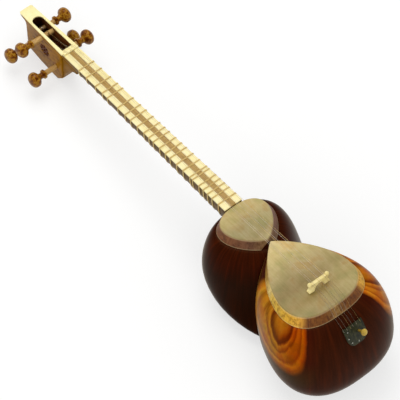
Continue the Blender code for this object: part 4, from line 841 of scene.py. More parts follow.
inside = node(tree, "Math", {0: side, 1: SLOT_HALF * 1000 + 0.4}, operation="LESS_THAN")
stain = node(tree, "ValToRGB", {"Fac": figure}, stops=((0.3, "#5A2A10"), (0.6, "#8A4E20")))
# Painted shade: the stain is darkened towards the slot's far end, which lies deep in shade
far_end = node(tree, "MapRange", {"Value": part.outputs["X"], "From Min": 715.0, "From Max": 760.0, "To Max": 0.85})
stain_with_painted_shade = node(tree, "Mix", {"Factor": far_end, "A": stain, "B": "#240C06"}, data_type="RGBA")
stained = node(tree, "Mix", {"Factor": inside, "A": carved, "B": stain_with_painted_shade}, data_type="RGBA")
grain = node(tree, "TexNoise", {"Vector": fibre, "Scale": 1.4, "Detail": 4.0})
open_grain = node(tree, "Bump", {"Height": grain, "Strength": 0.12, "Distance": 0.0003})
node(tree, shader, {"Base Color": stained, "Normal": open_grain})

# %% Pegbox: its outside
PEGBOX_START, WALL_END, PLATE_END = 0.6698, 0.7725, 0.7920
FOOT_X, FOOT_DEPTH = 0.7610, 0.0735
under = 0.0170
console = flowing([(WALL_END + under * out, NECK_TOP - under * down) for out, down in (
    (1.0, 0.0), (0.70, 0.20), (0.25, 0.33), (0.06, 0.56), (0.0, 0.90))], 6)
corner = flowing([(WALL_END, -0.0559), (0.7702, -0.0636), (FOOT_X, -FOOT_DEPTH)], 6)
back = PEGBOX_START + 0.0142
pegbox_side = [(PEGBOX_START, NECK_TOP), *console, *corner,
               (FOOT_X - 0.030 * math.cos(TILT), -FOOT_DEPTH - 0.030 * math.sin(TILT)),
               (back + 0.0181, -0.0797), (back, -0.0797), (PEGBOX_START, -HEEL_DEPTH)]
pegbox = eased_prism("pegbox_of_walnut", pegbox_side, -CHEEK, CHEEK, 1, 0.0011)


def taper(x):
    """Share of its full width that the pegbox has at x."""
    return 1 + (FAR_CHEEK / CHEEK - 1) * (x - PEGBOX_START) / (PLATE_END - PEGBOX_START)


for corner_point in pegbox.data.vertices:
    corner_point.co.y *= taper(corner_point.co.x)

# %% Pegbox: its slot, peg holes and pierced roses
slot_side = [(SLOT_START, 0.02), (SLOT_END, 0.02), (SLOT_END, -0.0559),
             *flowing([(SLOT_END, -0.0600), (along_slot(0.87), -0.0668), (along_slot(0.74), -0.0718)], 5),
             (along_slot(0.25), -0.0718), (SLOT_START, -0.0581)]
combine(pegbox, eased_prism("slot", slot_side, -SLOT_HALF, SLOT_HALF, 1, 0.0004))
for peg in PEGS.values():
    deep = SHAFT + GAP
    hole = ((-deep, shaft_radius(deep) + GAP), (0.01, shaft_radius(-0.01) + GAP))
    combine(pegbox, turned("hole", hole, 40, peg_place(peg)))
across = Matrix.Translation((ROSETTE_X, 0.0, ROSETTE_Z)) @ Matrix.Rotation(math.pi / 2, 4, "X")
combine(pegbox, turned("eye", ((-0.03, 0.0034), (0.03, 0.0034)), 32, across))
PETALS = 8
for i in range(PETALS):
    heading = 2 * math.pi * i / PETALS
    petal = [(0.0046, 0.0), (0.0070, 0.0018), (0.0098, 0.0029), (0.0118, 0.0020), (0.0126, 0.0),
             (0.0118, -0.0020), (0.0098, -0.0029), (0.0070, -0.0018)]
    leaf = flowing(petal, 3, closed=True)
    rings = [[across @ Matrix.Rotation(heading, 4, "Z") @ Vector((a, b, h)) for a, b in leaf]
             for h in (-0.03, 0.03)]
    combine(pegbox, from_rings("petal", rings))
put_in_place(pegbox, cheek_walnut, ["pegbox"])
print("pegbox:", len(pegbox.data.polygons), "faces,", PETALS, "petals in each rose")

# %% [markdown]
# ## Bone
# The fingerboard is two strips of camel bone with a walnut strip between them. The nut, the plate on
# the pegbox, the bridge and the end knob are bone too. Bone is cut, filed and polished. It shines
# softly, is creamy rather than white, and shows fine darker canals along its length.

# %% Bone, polished
def bone_finish(name, light, dark, slant):
    """Polished bone: cream with faint clouds and fine canals along its length."""
    material, tree, shader, mm = open_finish(name, Roughness=0.32, Specular_IOR_Level=0.4)
    grain = node(tree, "Mapping", {"Vector": mm, "Scale": (0.08, 1.0, 1.0), "Rotation": (0, 0, slant)})
    cloud = node(tree, "TexNoise", {"Vector": mm, "Scale": 0.05, "Detail": 4.0})
    # Canals are 0.1 mm wide, drawn six times coarser so that they show
    canals = node(tree, "TexNoise", {"Vector": grain, "Scale": 1.6, "Detail": 5.0, "Roughness": 0.7})
    body = node(tree, "ValToRGB", {"Fac": cloud}, stops=((0.35, dark), (0.62, light)))
    lines = node(tree, "ValToRGB", {"Fac": canals}, stops=((0.30, "#E8DCC0"), (0.46, "#FFFFFF")))
    mixed = node(tree, "Mix", {"Factor": 1.0, "A": body, "B": lines}, data_type="RGBA", blend_type="MULTIPLY")
    filed = node(tree, "Bump", {"Height": canals, "Strength": 0.08, "Distance": 0.0002})
    node(tree, shader, {"Base Color": mixed, "Normal": filed})
    return material


bone = bone_finish("bone_polished", "#FFF3B8", "#FAEBA6", 0.0)
bridge_bone = bone_finish("bone_waxed", "#FBEBA8", "#EAD588", 0.3)
old_bone = bone_finish("bone_yellowed", "#D2B044", "#7C5C14", 0.45)

# %% Walnut strip of the fingerboard
strip_walnut, tree, shader, mm = open_finish("walnut_strip", Roughness=0.42, Specular_IOR_Level=0.3)
fibre = node(tree, "Mapping", {"Vector": mm, "Scale": (0.05, 1.0, 1.0)})
lines = node(tree, "TexNoise", {"Vector": fibre, "Scale": 0.9, "Detail": 5.0, "Roughness": 0.7})
tone = node(tree, "ValToRGB", {"Fac": lines}, stops=(
    (0.30, "#8A6630"), (0.45, "#A98644"), (0.56, "#BE9A54"), (0.70, "#A07C3C")))
open_grain = node(tree, "Bump", {"Height": lines, "Strength": 0.15, "Distance": 0.0003})
node(tree, shader, {"Base Color": tone, "Normal": open_grain})

# %% Fingerboard strips and nut
STRIP_SHARE = 0.30


def strip(name, left, right, finish, stands_for):
    """A strip on the neck's face between two shares of its half-width, its edges eased."""
    corners = [(x, neck_half_width(x) * share + setback)
               for x, (share, setback) in ((NECK_END, left), (NECK_END, right),
                                           (SCALE_LENGTH - GAP, right), (SCALE_LENGTH - GAP, left))]
    piece = eased_prism(name, corners, NECK_TOP + GAP, BOARD_TOP, 2, 0.00035)
    return put_in_place(piece, finish, [stands_for])


slit = GAP / 2
strip("bone_strip_left", (1, 0), (STRIP_SHARE, slit), bone, "fingerboard_bone_left")
strip("walnut_strip_centre", (STRIP_SHARE, -slit), (-STRIP_SHARE, slit), strip_walnut,
      "fingerboard_walnut_centre")
strip("bone_strip_right", (-STRIP_SHARE, -slit), (-1, 0), bone, "fingerboard_bone_right")

NUT_TOP = 0.0075
nut_half = neck_half_width(SCALE_LENGTH)
nut_side = [(0.6600, 0.0013), (0.6650, 0.0013), (0.6650, 0.0060), (0.6644, 0.0071), (0.6632, NUT_TOP),
            (0.6608, NUT_TOP), (0.6600, 0.0069)]
nut = eased_prism("nut_of_bone", nut_side, -nut_half, nut_half, 1, 0.0006)
put_in_place(nut, bone, ["nut"])
print("nut:", round(nut_half * 2000, 1), "mm wide")

# %% Plate on the pegbox
def stadium(start, end, half, round_off, arc, full=False):
    """Outline with a square near end and a rounded far end, the same number of points for any size."""
    right = [(start + (end - round_off - start) * t, -half) for t in np.linspace(0, 1, 12)]
    far = []
    for turn in np.linspace(0, math.pi, arc + 2)[1:-1]:
        if full:
            far.append((end - half + half * math.sin(turn), -half * math.cos(turn)))
        else:
            flat_half = half - round_off
            side = -1 if turn < math.pi / 2 else 1
            bend = turn if side < 0 else math.pi - turn
            far.append((end - round_off * (1 - math.sin(bend)), side * (flat_half + round_off * math.cos(bend))))
    left = [(x, -y) for x, y in right[::-1]]
    near = [(start, half * (1 - 2 * t)) for t in np.linspace(0, 1, 8)[1:-1]]
    return right + far + left + near


PLATE_TOP = 0.0038
plate_rim = [(x, y * taper(x)) for x, y in stadium(0.6653, PLATE_END, CHEEK, 0.0045, 20)]
mouth_rim = stadium(SLOT_START, SLOT_END, SLOT_HALF, SLOT_HALF, 20, full=True)
ease = 0.0005
rings = []
for outline, side in ((plate_rim, 1), (mouth_rim, -1)):
    rows = [(NECK_TOP + GAP, 0.0), (PLATE_TOP - ease, 0.0), (PLATE_TOP - ease * 0.3, ease * 0.3), (PLATE_TOP, ease)]
    for z, inwards in rows if side > 0 else rows[::-1]:
        rings.append([(x, y, z) for x, y in inset(outline, inwards * side)])
plate = from_rings("plate_of_bone", rings, loop=True)
put_in_place(plate, bone, ["pegbox_front_plate"])

# %% [markdown]
# ## Gut frets
# A tar has no metal frets. Three or four turns of gut are tied tight round the neck and knotted on
# the side, so that a player can push them to retune a scale. Each fret here is three strands side by
# side with its knot, and rides on its own body because it slides.

# %% Gut
gut, tree, shader, mm = open_finish("gut_twisted", Roughness=0.38, Coat_Weight=0.3, Coat_Roughness=0.2,
                                    Subsurface_Weight=0.1)
shader.inputs["Subsurface Radius"].default_value = (0.002, 0.0012, 0.0006)
# Twist marks every 0.8 mm, as on a wound sheep-gut strand
twist = node(tree, "TexWave", {"Vector": mm, "Scale": 0.35, "Distortion": 2.0, "Detail": 2.0},
             bands_direction="DIAGONAL")
tone = node(tree, "ValToRGB", {"Fac": twist}, stops=((0.2, "#CBA656"), (0.6, "#E2C478"), (0.95, "#EED690")))
marks = node(tree, "Bump", {"Height": twist, "Strength": 0.25, "Distance": 0.0002})
node(tree, shader, {"Base Color": tone, "Normal": marks})

# %% Tie the frets
FRET_CENTS = (115, 175, 250, 310, 355, 450, 520, 575, 645, 715, 770, 820,
              895, 965, 1025, 1110, 1200, 1300, 1340, 1440, 1510, 1585, 1665, 1785)
STRAND = 0.00044            # radius of one strand


def fret_path(x, out):
    """Closed path of a strand round the neck and over the fingerboard."""
    back = neck_back(x, out, 48)
    half, top = neck_half_width(x) + out, BOARD_TOP + out
    bend = 0.0008
    over = []
    for side in (-1, 1):
        arc = [(side * (half - bend + bend * math.cos(a)), top - bend + bend * math.sin(a))
               for a in np.linspace(0, math.pi / 2, 5)]
        over += arc if side < 0 else arc[::-1]
    return back + [(x, y, z) for y, z in over]


def strand_rings(x):
    """Rings of one strand of gut round the neck."""
    path = fret_path(x, GAP + STRAND)
    rings = []
    for i, (_, y, z) in enumerate(path):
        ahead = Vector(path[(i + 1) % len(path)]) - Vector(path[i - 1])
        out = Vector((0.0, ahead.z, -ahead.y)).normalized()
        rings.append([(x + STRAND * math.cos(a), y + out.y * STRAND * math.sin(a), z + out.z * STRAND * math.sin(a))
                      for a in np.arange(8) * math.pi / 4])
    return rings


def merge(*parts):
    """Several closed shells as one list of points and faces."""
    points, faces = [], []
    for some_points, some_faces in parts:
        start = len(points)
        points += list(some_points)
        faces += [tuple(start + i for i in face) for face in some_faces]
    return points, faces


def knot(x):
    """The knot on the right side of the neck, with two cut ends."""
    y, z = -neck_half_width(x) - GAP - 2 * STRAND, -0.0035
    parts = []
    for dx, dz, size in ((-0.0005, 0.0004, 0.00085), (0.0006, -0.0004, 0.00085)):
        heights = np.cos(np.linspace(0.05, math.pi - 0.05, 7))
        rings = [[(x + dx + size * math.sqrt(1 - h * h) * math.cos(a), y + size * math.sqrt(1 - h * h) * math.sin(a),
                   z + dz + size * h * 1.3) for a in np.arange(8) * math.pi / 4] for h in heights]
        parts.append(join_rings(rings))
    for dx in (-0.0007, 0.0007):
        end = [(x, y, z), (x + dx, y - 0.0004, z - 0.0012), (x + 1.6 * dx, y - 0.0002, z - 0.0026)]
        parts.append(join_rings(tube(end, STRAND * 0.7, 6)))
    return parts


for number, cents in enumerate(FRET_CENTS, start=1):
    x = SCALE_LENGTH * 2 ** (-cents / 1200)
    strands = [join_rings(strand_rings(x + step * 2 * STRAND), loop=True) for step in (-1, 0, 1)]
    fret = make_mesh(f"gut_fret_{number:02d}", *merge(*strands, *knot(x)))
    put_in_place(fret, gut, [f"fret_{number:02d}"], f"fret_{number:02d}")
print("frets:", len(FRET_CENTS), "of three strands each")

# %% [markdown]
# ## Pegs
# The six pegs are turned on a lathe. Their heads are walnut burl with clear lacquer: swirling orange
# and brown with small eyes. The shafts are left bare where they run in the pegbox. A smooth curve
# through the lathe's measurements gives the profile, and one material ends at the collar.

# %% Burl and bare shaft
burl, tree, shader, mm = open_finish("walnut_burl", Roughness=0.36, Specular_IOR_Level=0.3, Specular_Tint=AMBER,
                                     Coat_Weight=0.18, Coat_Roughness=0.15)
warp = node(tree, "TexNoise", {"Vector": mm, "Scale": 0.10, "Detail": 3.0})
bent = node(tree, "VectorMath", {0: warp.outputs["Color"], 1: (14.0, 14.0, 14.0), 2: mm},
            operation="MULTIPLY_ADD")
swirls = node(tree, "TexNoise", {"Vector": bent, "Scale": 0.13, "Detail": 3.5, "Roughness": 0.55})
eyes = node(tree, "TexVoronoi", {"Vector": bent, "Scale": 0.28})
tone = node(tree, "ValToRGB", {"Fac": swirls}, stops=(
    (0.34, "#4A1E04"), (0.42, "#74400A"), (0.49, "#905A10"), (0.55, "#B08428"), (0.61, "#8A540E"), (0.70, "#643008")))
spots = node(tree, "ValToRGB", {"Fac": eyes}, stops=((0.06, 0.5), (0.30, 1.0)))
mottled = node(tree, "Mix", {"Factor": 0.5, "A": tone, "B": spots}, data_type="RGBA", blend_type="MULTIPLY")
figure = node(tree, "Bump", {"Height": swirls, "Strength": 0.06, "Distance": 0.0004})
node(tree, shader, {"Base Color": mottled, "Normal": figure})

bare_wood, tree, shader, mm = open_finish("walnut_bare", Roughness=0.55, Specular_IOR_Level=0.3)
part = node(tree, "SeparateXYZ", {"Vector": mm})
fibre = node(tree, "Mapping", {"Vector": mm, "Scale": (1.0, 0.08, 1.0)})
lines = node(tree, "TexNoise", {"Vector": fibre, "Scale": 1.1, "Detail": 4.0})
tone = node(tree, "ValToRGB", {"Fac": lines}, stops=((0.32, "#A87E42"), (0.5, "#C49C5C"), (0.68, "#D0AC6E")))
# Painted shade: the shafts that lie deep in the slot are darkened, where the pegbox shades them
low = node(tree, "MapRange", {"Value": part.outputs["Z"], "From Min": -12.0, "From Max": -17.0})
side = node(tree, "Math", {0: part.outputs["Y"]}, operation="ABSOLUTE")
in_slot = node(tree, "MapRange", {"Value": side, "From Min": 16.0, "From Max": 10.0})
deep = node(tree, "Math", {0: low, 1: in_slot}, operation="MULTIPLY")
shaft_with_painted_shade = node(tree, "Mix", {"Factor": deep, "A": tone, "B": "#4A2A14"}, data_type="RGBA")
marks = node(tree, "Bump", {"Height": lines, "Strength": 0.12, "Distance": 0.0003})
node(tree, shader, {"Base Color": shaft_with_painted_shade, "Normal": marks})

# %% Turn the pegs
STRING_PEGS = ("peg_left_near", "peg_left_far", "peg_left_upper",
               "peg_right_far", "peg_right_lower", "peg_right_near")


def peg_profile(reach):
    """Profile of a peg, and the distance at which the burl starts."""
    head = reach - 0.0100
    collar = head - 0.0105
    shaft = [(-SHAFT, 0.0038), (-SHAFT + 0.0006, 0.0044), (0.0, 0.0050), (collar - 0.0036, 0.0050)]
    ringed = [(collar - 0.0034, 0.0056), (collar - 0.0026, 0.0074), (collar - 0.0016, 0.0086),
              (collar - 0.0004, 0.0088), (collar + 0.0004, 0.0080), (collar + 0.0008, 0.0080),
              (collar + 0.0015, 0.0087), (collar + 0.0024, 0.0080)]
    cove = flowing([(collar + 0.0024, 0.0080), (collar + 0.0045, 0.0057), (collar + 0.0075, 0.0056), (head, 0.0067),
                    *[(head + 0.02 * a, 0.0142 * r) for a, r in (
                        (0.15, 0.78), (0.32, 0.97), (0.52, 1.0), (0.72, 0.93), (0.90, 0.66), (0.985, 0.30))]], 5)
    tip = [(head + 0.0200, 0.0028), (head + 0.0202, 0.0010)]
    return shaft + ringed + cove[1:] + tip, collar - 0.0035


for name, peg in PEGS.items():
    profile, burl_start = peg_profile(peg["reach"])
    place = peg_place(peg)
    piece = turned("turned_" + name, profile, 48, place, sharp=60.0)
    inwards = place.inverted()
    for face in piece.data.polygons:
        face.material_index = 0 if (inwards @ face.center).z < burl_start else 1
    put_in_place(piece, [bare_wood, burl], [name], name)
print("pegs:", ", ".join(PEGS))

# %% [markdown]
# ## Strings
# Six strings run in three pairs: steel, and brass for two of them. Each leaves a hole in the
# tailpiece, climbs over the skin's border, crosses bridge and nut and dives into the pegbox to its
# peg. A string is a thin tube along its route, with small bends rather than corners.

# %% Steel and brass
def wire_finish(name, light, dark):
    """Drawn wire: metal with faint lengthwise die marks and a breath of tarnish."""
    material, tree, shader, mm = open_finish(name, Metallic=1.0, Roughness=0.32)
    drawn = node(tree, "TexNoise", {"Vector": mm, "Scale": 0.09, "Detail": 3.0})
    tone = node(tree, "ValToRGB", {"Fac": drawn}, stops=((0.35, dark), (0.6, light)))
    marks = node(tree, "ValToRGB", {"Fac": drawn}, stops=((0.3, 0.42), (0.7, 0.26)))
    node(tree, shader, {"Base Color": tone, "Roughness": marks})
    return material


steel = wire_finish("steel_drawn", "#D8C8B4", "#B8A48E")
brass = wire_finish("brass_drawn", "#E2C48A", "#C09A58")

# %% Run the strings
STRING_RADIUS = 0.0002
AT_BRIDGE = (0.0150, 0.0118, 0.0016, -0.0016, -0.0118, -0.0150)
AT_NUT = (0.0105, 0.0080, 0.0013, -0.0013, -0.0080, -0.0105)
ON_PEGS = (0.0078, 0.0040, 0.0010, -0.0030, -0.0040, -0.0078)
AT_TAIL = (0.0152, 0.0085, 0.0010, -0.0043, -0.0118, -0.0198)
BEAM_TOP = 0.0205
TAILPIECE_THICKNESS = 0.0024
WINDING = 0.0011            # thickness of the turns of string on a peg
LIFT = GAP + 0.0003         # the middle of a string over what carries it, as in the working model


def winding_bore(number):
    """Radius inside a string's turns on its peg, and how far in from the cheek they lie."""
    peg = PEGS[STRING_PEGS[number - 1]]
    inward = CHEEK - peg["side"] * ON_PEGS[number - 1]
    return shaft_radius(inward - 0.0015) + GAP, inward


def peg_tangent(start, peg, radius):
    """Where a straight string from start touches the turns on its peg."""
    dx, dz = along_slot(peg["share"]) - start.x, -peg["depth"] - start.z
    distance = math.hypot(dx, dz)
    bend = math.asin(radius / distance)
    heading = math.atan2(dz, dx) + (bend if peg["over"] else -bend)
    length = math.sqrt(distance ** 2 - radius ** 2)
    return Vector((start.x + length * math.cos(heading), 0.0, start.z + length * math.sin(heading)))


def bridge_thickness(z):
    """Thickness of the bridge along the strings, at a height."""
    return 0.0085 - 0.0030 * (z - 0.0013) / (0.0245 - 0.0013)


def string_route(number):
    """Points of one string from the tailpiece over the bridge and the nut to its peg."""
    index, peg = number - 1, PEGS[STRING_PEGS[number - 1]]
    y = AT_TAIL[index]
    face = GAP + TAILPIECE_THICKNESS
    points = [on_tail(y, TAILPIECE_TOP + down, out) for down, out in (
        (0.0036, face - 0.0006), (0.0034, face + STRING_RADIUS), (0.0008, face + LIFT * 0.8),
        (-0.0012, face * 0.62))]
    over_skin = LIFT + 2 * GAP + SKIN_THICKNESS
    wood = TAILPIECE_TOP - BORDER_DROP
    points += [on_tail(y, down, out) for down, out in (
        (BORDER_DROP + wood * 0.6, LIFT * 1.3), (BORDER_DROP + wood * 0.25, LIFT * 2),
        (BORDER_DROP, over_skin), (BORDER_DROP / 2, over_skin + GAP))]
    points.append(Vector((tail_x(y, 0.0) - LIFT, y, SKIN_TOP + 2 * LIFT)))
    for side in (-1, 1):
        over_beam = side * (bridge_thickness(BEAM_TOP) / 2 + STRING_RADIUS)
        points.append(Vector((over_beam, AT_BRIDGE[index], BEAM_TOP + LIFT)))
    points.append(Vector((SCALE_LENGTH, AT_NUT[index], NUT_TOP + LIFT)))
    leave = Vector((0.6650, AT_NUT[index], NUT_TOP + LIFT))
    points.append(leave)
    ring = winding_bore(number)[0] + WINDING + LIFT
    edge = Vector((SLOT_START + LIFT, 0.0, PLATE_TOP + LIFT))
    start, target = leave, peg_tangent(leave, peg, ring)
    share = (edge.x - leave.x) / (target.x - leave.x)
    if leave.z + (target.z - leave.z) * share < edge.z:
        edge.y = AT_NUT[index] + (ON_PEGS[index] - AT_NUT[index]) * share
        points.append(edge)
        start = edge
    target = peg_tangent(start, peg, ring)
    points.append(Vector((target.x, ON_PEGS[index], target.z)))
    return points


def eased_route(points, radius=0.0012):
    """The same route with each corner replaced by a small bend."""
    route = [points[0]]
    for before, here, after in zip(points, points[1:], points[2:]):
        short = min(radius, (here - before).length * 0.3, (after - here).length * 0.3)
        start = here + (before - here).normalized() * short
        end = here + (after - here).normalized() * short
        route += [start, start * 0.25 + here * 0.5 + end * 0.25, end]
    return route + [points[-1]]


for number in range(1, 7):
    metal = brass if number in (3, 6) else steel
    route = eased_route(string_route(number))
    string = from_rings(f"wire_{number}", tube(route, STRING_RADIUS, 8), sharp=60.0)
    put_in_place(string, metal, [f"string_{number}"])

# %% Wind the string ends on the pegs
WIRE = 0.00036
TURNS = 4
for number, name in enumerate(STRING_PEGS, start=1):
    bore, middle = winding_bore(number)
    place = peg_place(PEGS[name])
    path = []
    for t in np.linspace(0, 1, TURNS * 24 + 1):
        angle = 2 * math.pi * TURNS * t
        radius = bore + WIRE + 0.0002
        height = -middle + (t - 0.5) * (0.0030 - 2 * WIRE)
        path.append(place @ Vector((radius * math.cos(angle), radius * math.sin(angle), height)))
    coil = from_rings(f"coil_{number}", tube(path, WIRE, 8), sharp=60.0)
    put_in_place(coil, brass if number in (3, 6) else steel, [f"winding_{number}"], name)
print("strings:", STRING_RADIUS * 2000, "mm wire,", TURNS, "turns on each peg")

# %% [markdown]
# ## Bridge
# The bridge is one small piece of bone: two feet, an arch between them, a beam and two raised knobs
# that keep the outer strings in. It only stands on the skin, held by the strings. It is drawn from
# the front as one outline and thins towards its top.

# %% Carve the bridge
HALF_BRIDGE = 0.0222
BASE = SKIN_TOP + GAP
right_side = [(-0.0107, BASE), *flowing([(-0.0214, BASE), (-HALF_BRIDGE, BASE + 0.0009), (-0.0218, BASE + 0.0032),
                                         (-0.0194, BASE + 0.0062), (-0.0186, 0.0120), (-0.0192, 0.0150),
                                         (-0.0200, 0.0170), (-0.0200, 0.0190), (-0.0190, BEAM_TOP)], 4),
              (-0.0168, BEAM_TOP), (-0.0120, BEAM_TOP), (-0.0060, BEAM_TOP)]
left_side = [(-y, z) for y, z in reversed(right_side)]
arch = [(0.0107 * math.cos(t), BASE + (0.0140 - BASE) * math.sin(t)) for t in np.linspace(0, math.pi, 25)[1:-1]]
front = right_side + left_side + arch
ease = 0.0006
rings = []
for step, inwards in ((-1.0, ease), (-0.93, ease * 0.35), (-0.82, 0.0), (0.82, 0.0), (0.93, ease * 0.35), (1.0, ease)):
    rings.append([(step * bridge_thickness(z) / 2, yi, zi)
                  for (y, z), (yi, zi) in zip(front, inset(front, inwards))])
bridge = from_rings("bridge_of_bone", rings)
for side in (-1, 1):        # round knobs, leaning outwards on the ends of the beam
    lean = Matrix.Translation((0.0, side * 0.0182, 0.0186)) @ Matrix.Rotation(-side * 0.25, 4, "X")
    knob = [(-0.0040, 0.0005), *flowing([(-0.0038, 0.0022), (-0.0020, 0.0031), (0.0000, 0.0038), (0.0024, 0.0040),
                                         (0.0046, 0.0032), (0.0058, 0.0015)], 4), (0.0060, 0.0004)]
    combine(bridge, turned("knob", knob, 32, lean), "UNION")
put_in_place(bridge, bridge_bone, ["bridge"])
print("bridge:", round(HALF_BRIDGE * 2000, 1), "mm long")

# %% [markdown]
# ## Tailpiece
# The strings are hooked to a thin plate of dark horn, bent over the tail of the large bowl and held
# by four nails. A bone knob stands out of it. Horn is cut, heated, bent and polished: nearly black
# green, with faint streaks and a soft shine.

# %% Horn and nails
horn, tree, shader, mm = open_finish("horn_polished", Roughness=0.38, Specular_IOR_Level=0.25, Coat_Weight=0.06,
                                     Coat_Roughness=0.15)
flow = node(tree, "Mapping", {"Vector": mm, "Scale": (1.0, 1.0, 0.2)})
streaks = node(tree, "TexNoise", {"Vector": flow, "Scale": 0.28, "Detail": 5.0, "Roughness": 0.65})
tone = node(tree, "ValToRGB", {"Fac": streaks}, stops=(
    (0.32, "#171A0C"), (0.50, "#2A2C18"), (0.64, "#424026"), (0.78, "#262818")))
marks = node(tree, "Bump", {"Height": streaks, "Strength": 0.15, "Distance": 0.0005})
node(tree, shader, {"Base Color": tone, "Normal": marks})

nail_metal, tree, shader, mm = open_finish("steel_nail", Metallic=1.0, Roughness=0.35)
pitting = node(tree, "TexNoise", {"Vector": mm, "Scale": 1.5, "Detail": 3.0})
tone = node(tree, "ValToRGB", {"Fac": pitting}, stops=((0.4, "#A8A698"), (0.6, "#D2D0C4")))
node(tree, shader, {"Base Color": tone,
                    "Normal": node(tree, "Bump", {"Height": pitting, "Strength": 0.2, "Distance": 0.0002})})

# %% Bend the tailpiece over the wood
TAILPIECE_LENGTH, TAILPIECE_SIDE = 0.0300, -0.0040      # its middle lies off the centre line


def tailpiece_half_width(share):
    """Half-width from the top (0) to the rounded lower end (1)."""
    drop = max(share - 0.5, 0.0) / 0.5
    return 0.0065 + 0.0140 * math.sqrt(max(1 - drop ** 2, 0.0))


ROWS, COLUMNS = 28, 22
grids = []
for out in (GAP, GAP + TAILPIECE_THICKNESS):
    for share in np.sin(np.linspace(0, math.pi / 2, ROWS + 1)):
        half = tailpiece_half_width(share)
        down = TAILPIECE_TOP + TAILPIECE_LENGTH * share
        sides = [TAILPIECE_SIDE + half * (2 * i / COLUMNS - 1) for i in range(COLUMNS + 1)]
        grids.append([on_tail(y, down, out) for y in sides])
width = COLUMNS + 1
upper = (ROWS + 1) * width
faces = []
for row in range(ROWS):
    for i in range(COLUMNS):
        a = row * width + i
        quad = (a, a + 1, a + width + 1, a + width)
        faces += [quad, tuple(upper + k for k in reversed(quad))]
rim = [*range(width), *[row * width + COLUMNS for row in range(1, ROWS)],
       *range(ROWS * width + COLUMNS, ROWS * width - 1, -1), *[row * width for row in range(ROWS - 1, 0, -1)]]
faces += [(b, a, upper + a, upper + b) for a, b in zip(rim, rim[1:] + rim[:1])]
tailpiece = make_mesh("tailpiece_of_horn", [p for row in grids for p in row], faces)
ease_edges(tailpiece, 0.0006, 3, 50.0)
drill_tail(tailpiece, GAP)
for y in AT_TAIL:       # a hole for each string
    hole = turned("hole", ((-0.02, 0.0006), (0.02, 0.0006)), 12, tail_place((y, 0.0036)))
    combine(tailpiece, hole)
put_in_place(tailpiece, horn, ["tailpiece"])
print("tailpiece:", len(tailpiece.data.polygons), "faces")

# %% Nails and end knob
FACE = GAP + TAILPIECE_THICKNESS + GAP
for number, spot in enumerate(NAIL_SPOTS, start=1):
    dome = [(FACE + 0.00104 * math.sin(t), 0.0013 * math.cos(t)) for t in np.linspace(0, 1.45, 7)]
    nail = turned(f"nail_{number}", [(FACE - 0.0050, 0.0002), (FACE - 0.0042, 0.0006), (FACE, 0.0006), *dome],
                  24, tail_place(spot))
    put_in_place(nail, nail_metal, [f"tailpiece_nail_{number}"])
knob_profile = [(-0.0080, 0.0023), *flowing([(FACE + out, r) for out, r in (
    (0.0042, 0.0023), (0.0060, 0.0025), (0.0078, 0.0031), (0.0100, 0.0041), (0.0122, 0.0052), (0.0142, 0.0060),
    (0.0156, 0.0058), (0.0165, 0.0042), (0.0168, 0.0012))], 4)]
knob = turned("knob_of_bone", knob_profile, 40, tail_place(KNOB_SPOT), sharp=50.0)
put_in_place(knob, old_bone, ["tail_knob"])

# %% [markdown]
# ## Floor, light and camera
# A white floor, a large soft lamp from above and a weaker one from the tail's side. Lacquer mirrors
# what stands round it, so the studio that is seen, directly or in gloss, is white at the horizon and
# dark overhead: that keeps the wood deep where it faces the eye and lets its outlines catch light.
# The floor is half paint, which takes the tar's shadow, and half glow, which makes it white.

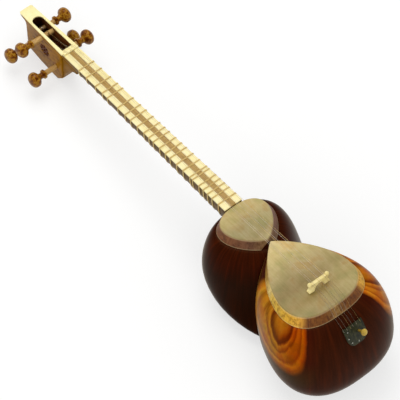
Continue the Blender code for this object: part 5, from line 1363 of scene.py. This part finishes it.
# %% Floor
bpy.ops.mesh.primitive_plane_add(size=12.0)
floor = bpy.context.active_object
floor.name = "floor"
floor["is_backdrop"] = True
floor_paint = bpy.data.materials.new("floor_paint")
floor_paint.use_nodes = True
tree = floor_paint.node_tree
tree.nodes.clear()
seen = node(tree, "LightPath", {})
mirrored = node(tree, "Math", {0: seen.outputs["Is Camera Ray"], 1: seen.outputs["Is Glossy Ray"]}, operation="ADD")
through = node(tree, "Math", {0: mirrored, 1: seen.outputs["Is Transmission Ray"]}, operation="ADD")
lift_up = node(tree, "Math", {0: through, 1: 0.60}, operation="MULTIPLY")
paint = node(tree, "BsdfDiffuse", {"Color": "#ABABAA"})
glow = node(tree, "Emission", {"Color": "#FFFFFF", "Strength": lift_up})
both = node(tree, "AddShader", {0: paint, 1: glow})
node(tree, "OutputMaterial", {"Surface": both})
floor.data.materials.append(floor_paint)

# %% Sky and light
world = bpy.data.worlds.new("studio")
bpy.context.scene.world = world
world.use_nodes = True
tree = world.node_tree
tree.nodes.clear()
seen = node(tree, "LightPath", {})
height = node(tree, "SeparateXYZ", {"Vector": node(tree, "TexCoord", {}).outputs["Generated"]})
sky = node(tree, "ValToRGB", {"Fac": height.outputs["Z"]}, stops=((0.15, 1.0), (0.35, 0.45), (0.60, 0.06), (1.0, 0.03)))
mirrored = node(tree, "Math", {0: seen.outputs["Is Camera Ray"], 1: seen.outputs["Is Glossy Ray"]}, operation="MAXIMUM")
through = node(tree, "Math", {0: mirrored, 1: seen.outputs["Is Transmission Ray"]}, operation="MAXIMUM")
shown = node(tree, "Mix", {"Factor": through, "A": (0.62, 0.62, 0.62, 1.0), "B": sky}, data_type="RGBA")
node(tree, "OutputWorld", {"Surface": node(tree, "Background", {"Color": shown, "Strength": 1.0})})


def soft_lamp(name, place, size, power, mirrored):
    """A square soft lamp that looks at the middle of the tar."""
    light = bpy.data.lights.new(name, "AREA")
    light.energy, light.size = power, size
    lamp = bpy.data.objects.new(name, light)
    bpy.context.scene.collection.objects.link(lamp)
    lamp.location = place
    lamp.rotation_euler = (-lamp.location).to_track_quat("-Z", "Y").to_euler()
    lamp.visible_glossy = mirrored


soft_lamp("main_lamp", (1.65, -0.5, 3.0), 2.4, 52.0, True)
soft_lamp("fill_lamp", (-2.4, 2.2, 1.7), 2.4, 36.0, False)
bpy.context.scene.view_settings.view_transform = "Standard"

# %% Camera
eye = bpy.data.cameras.new("camera")
eye.lens, eye.sensor_width = 300.0, 36.0
camera = bpy.data.objects.new("camera", eye)
bpy.context.scene.collection.objects.link(camera)
camera.location = (-2.0347, 2.1310, 5.0086)
camera.rotation_euler = [math.radians(a) for a in (30.355, -4.237, -129.552)]
bpy.context.scene.camera = camera

# %% Measure the size
low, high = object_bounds()
print("size in mm:", [round((b - a) * 1000, 1) for a, b in zip(low, high)])
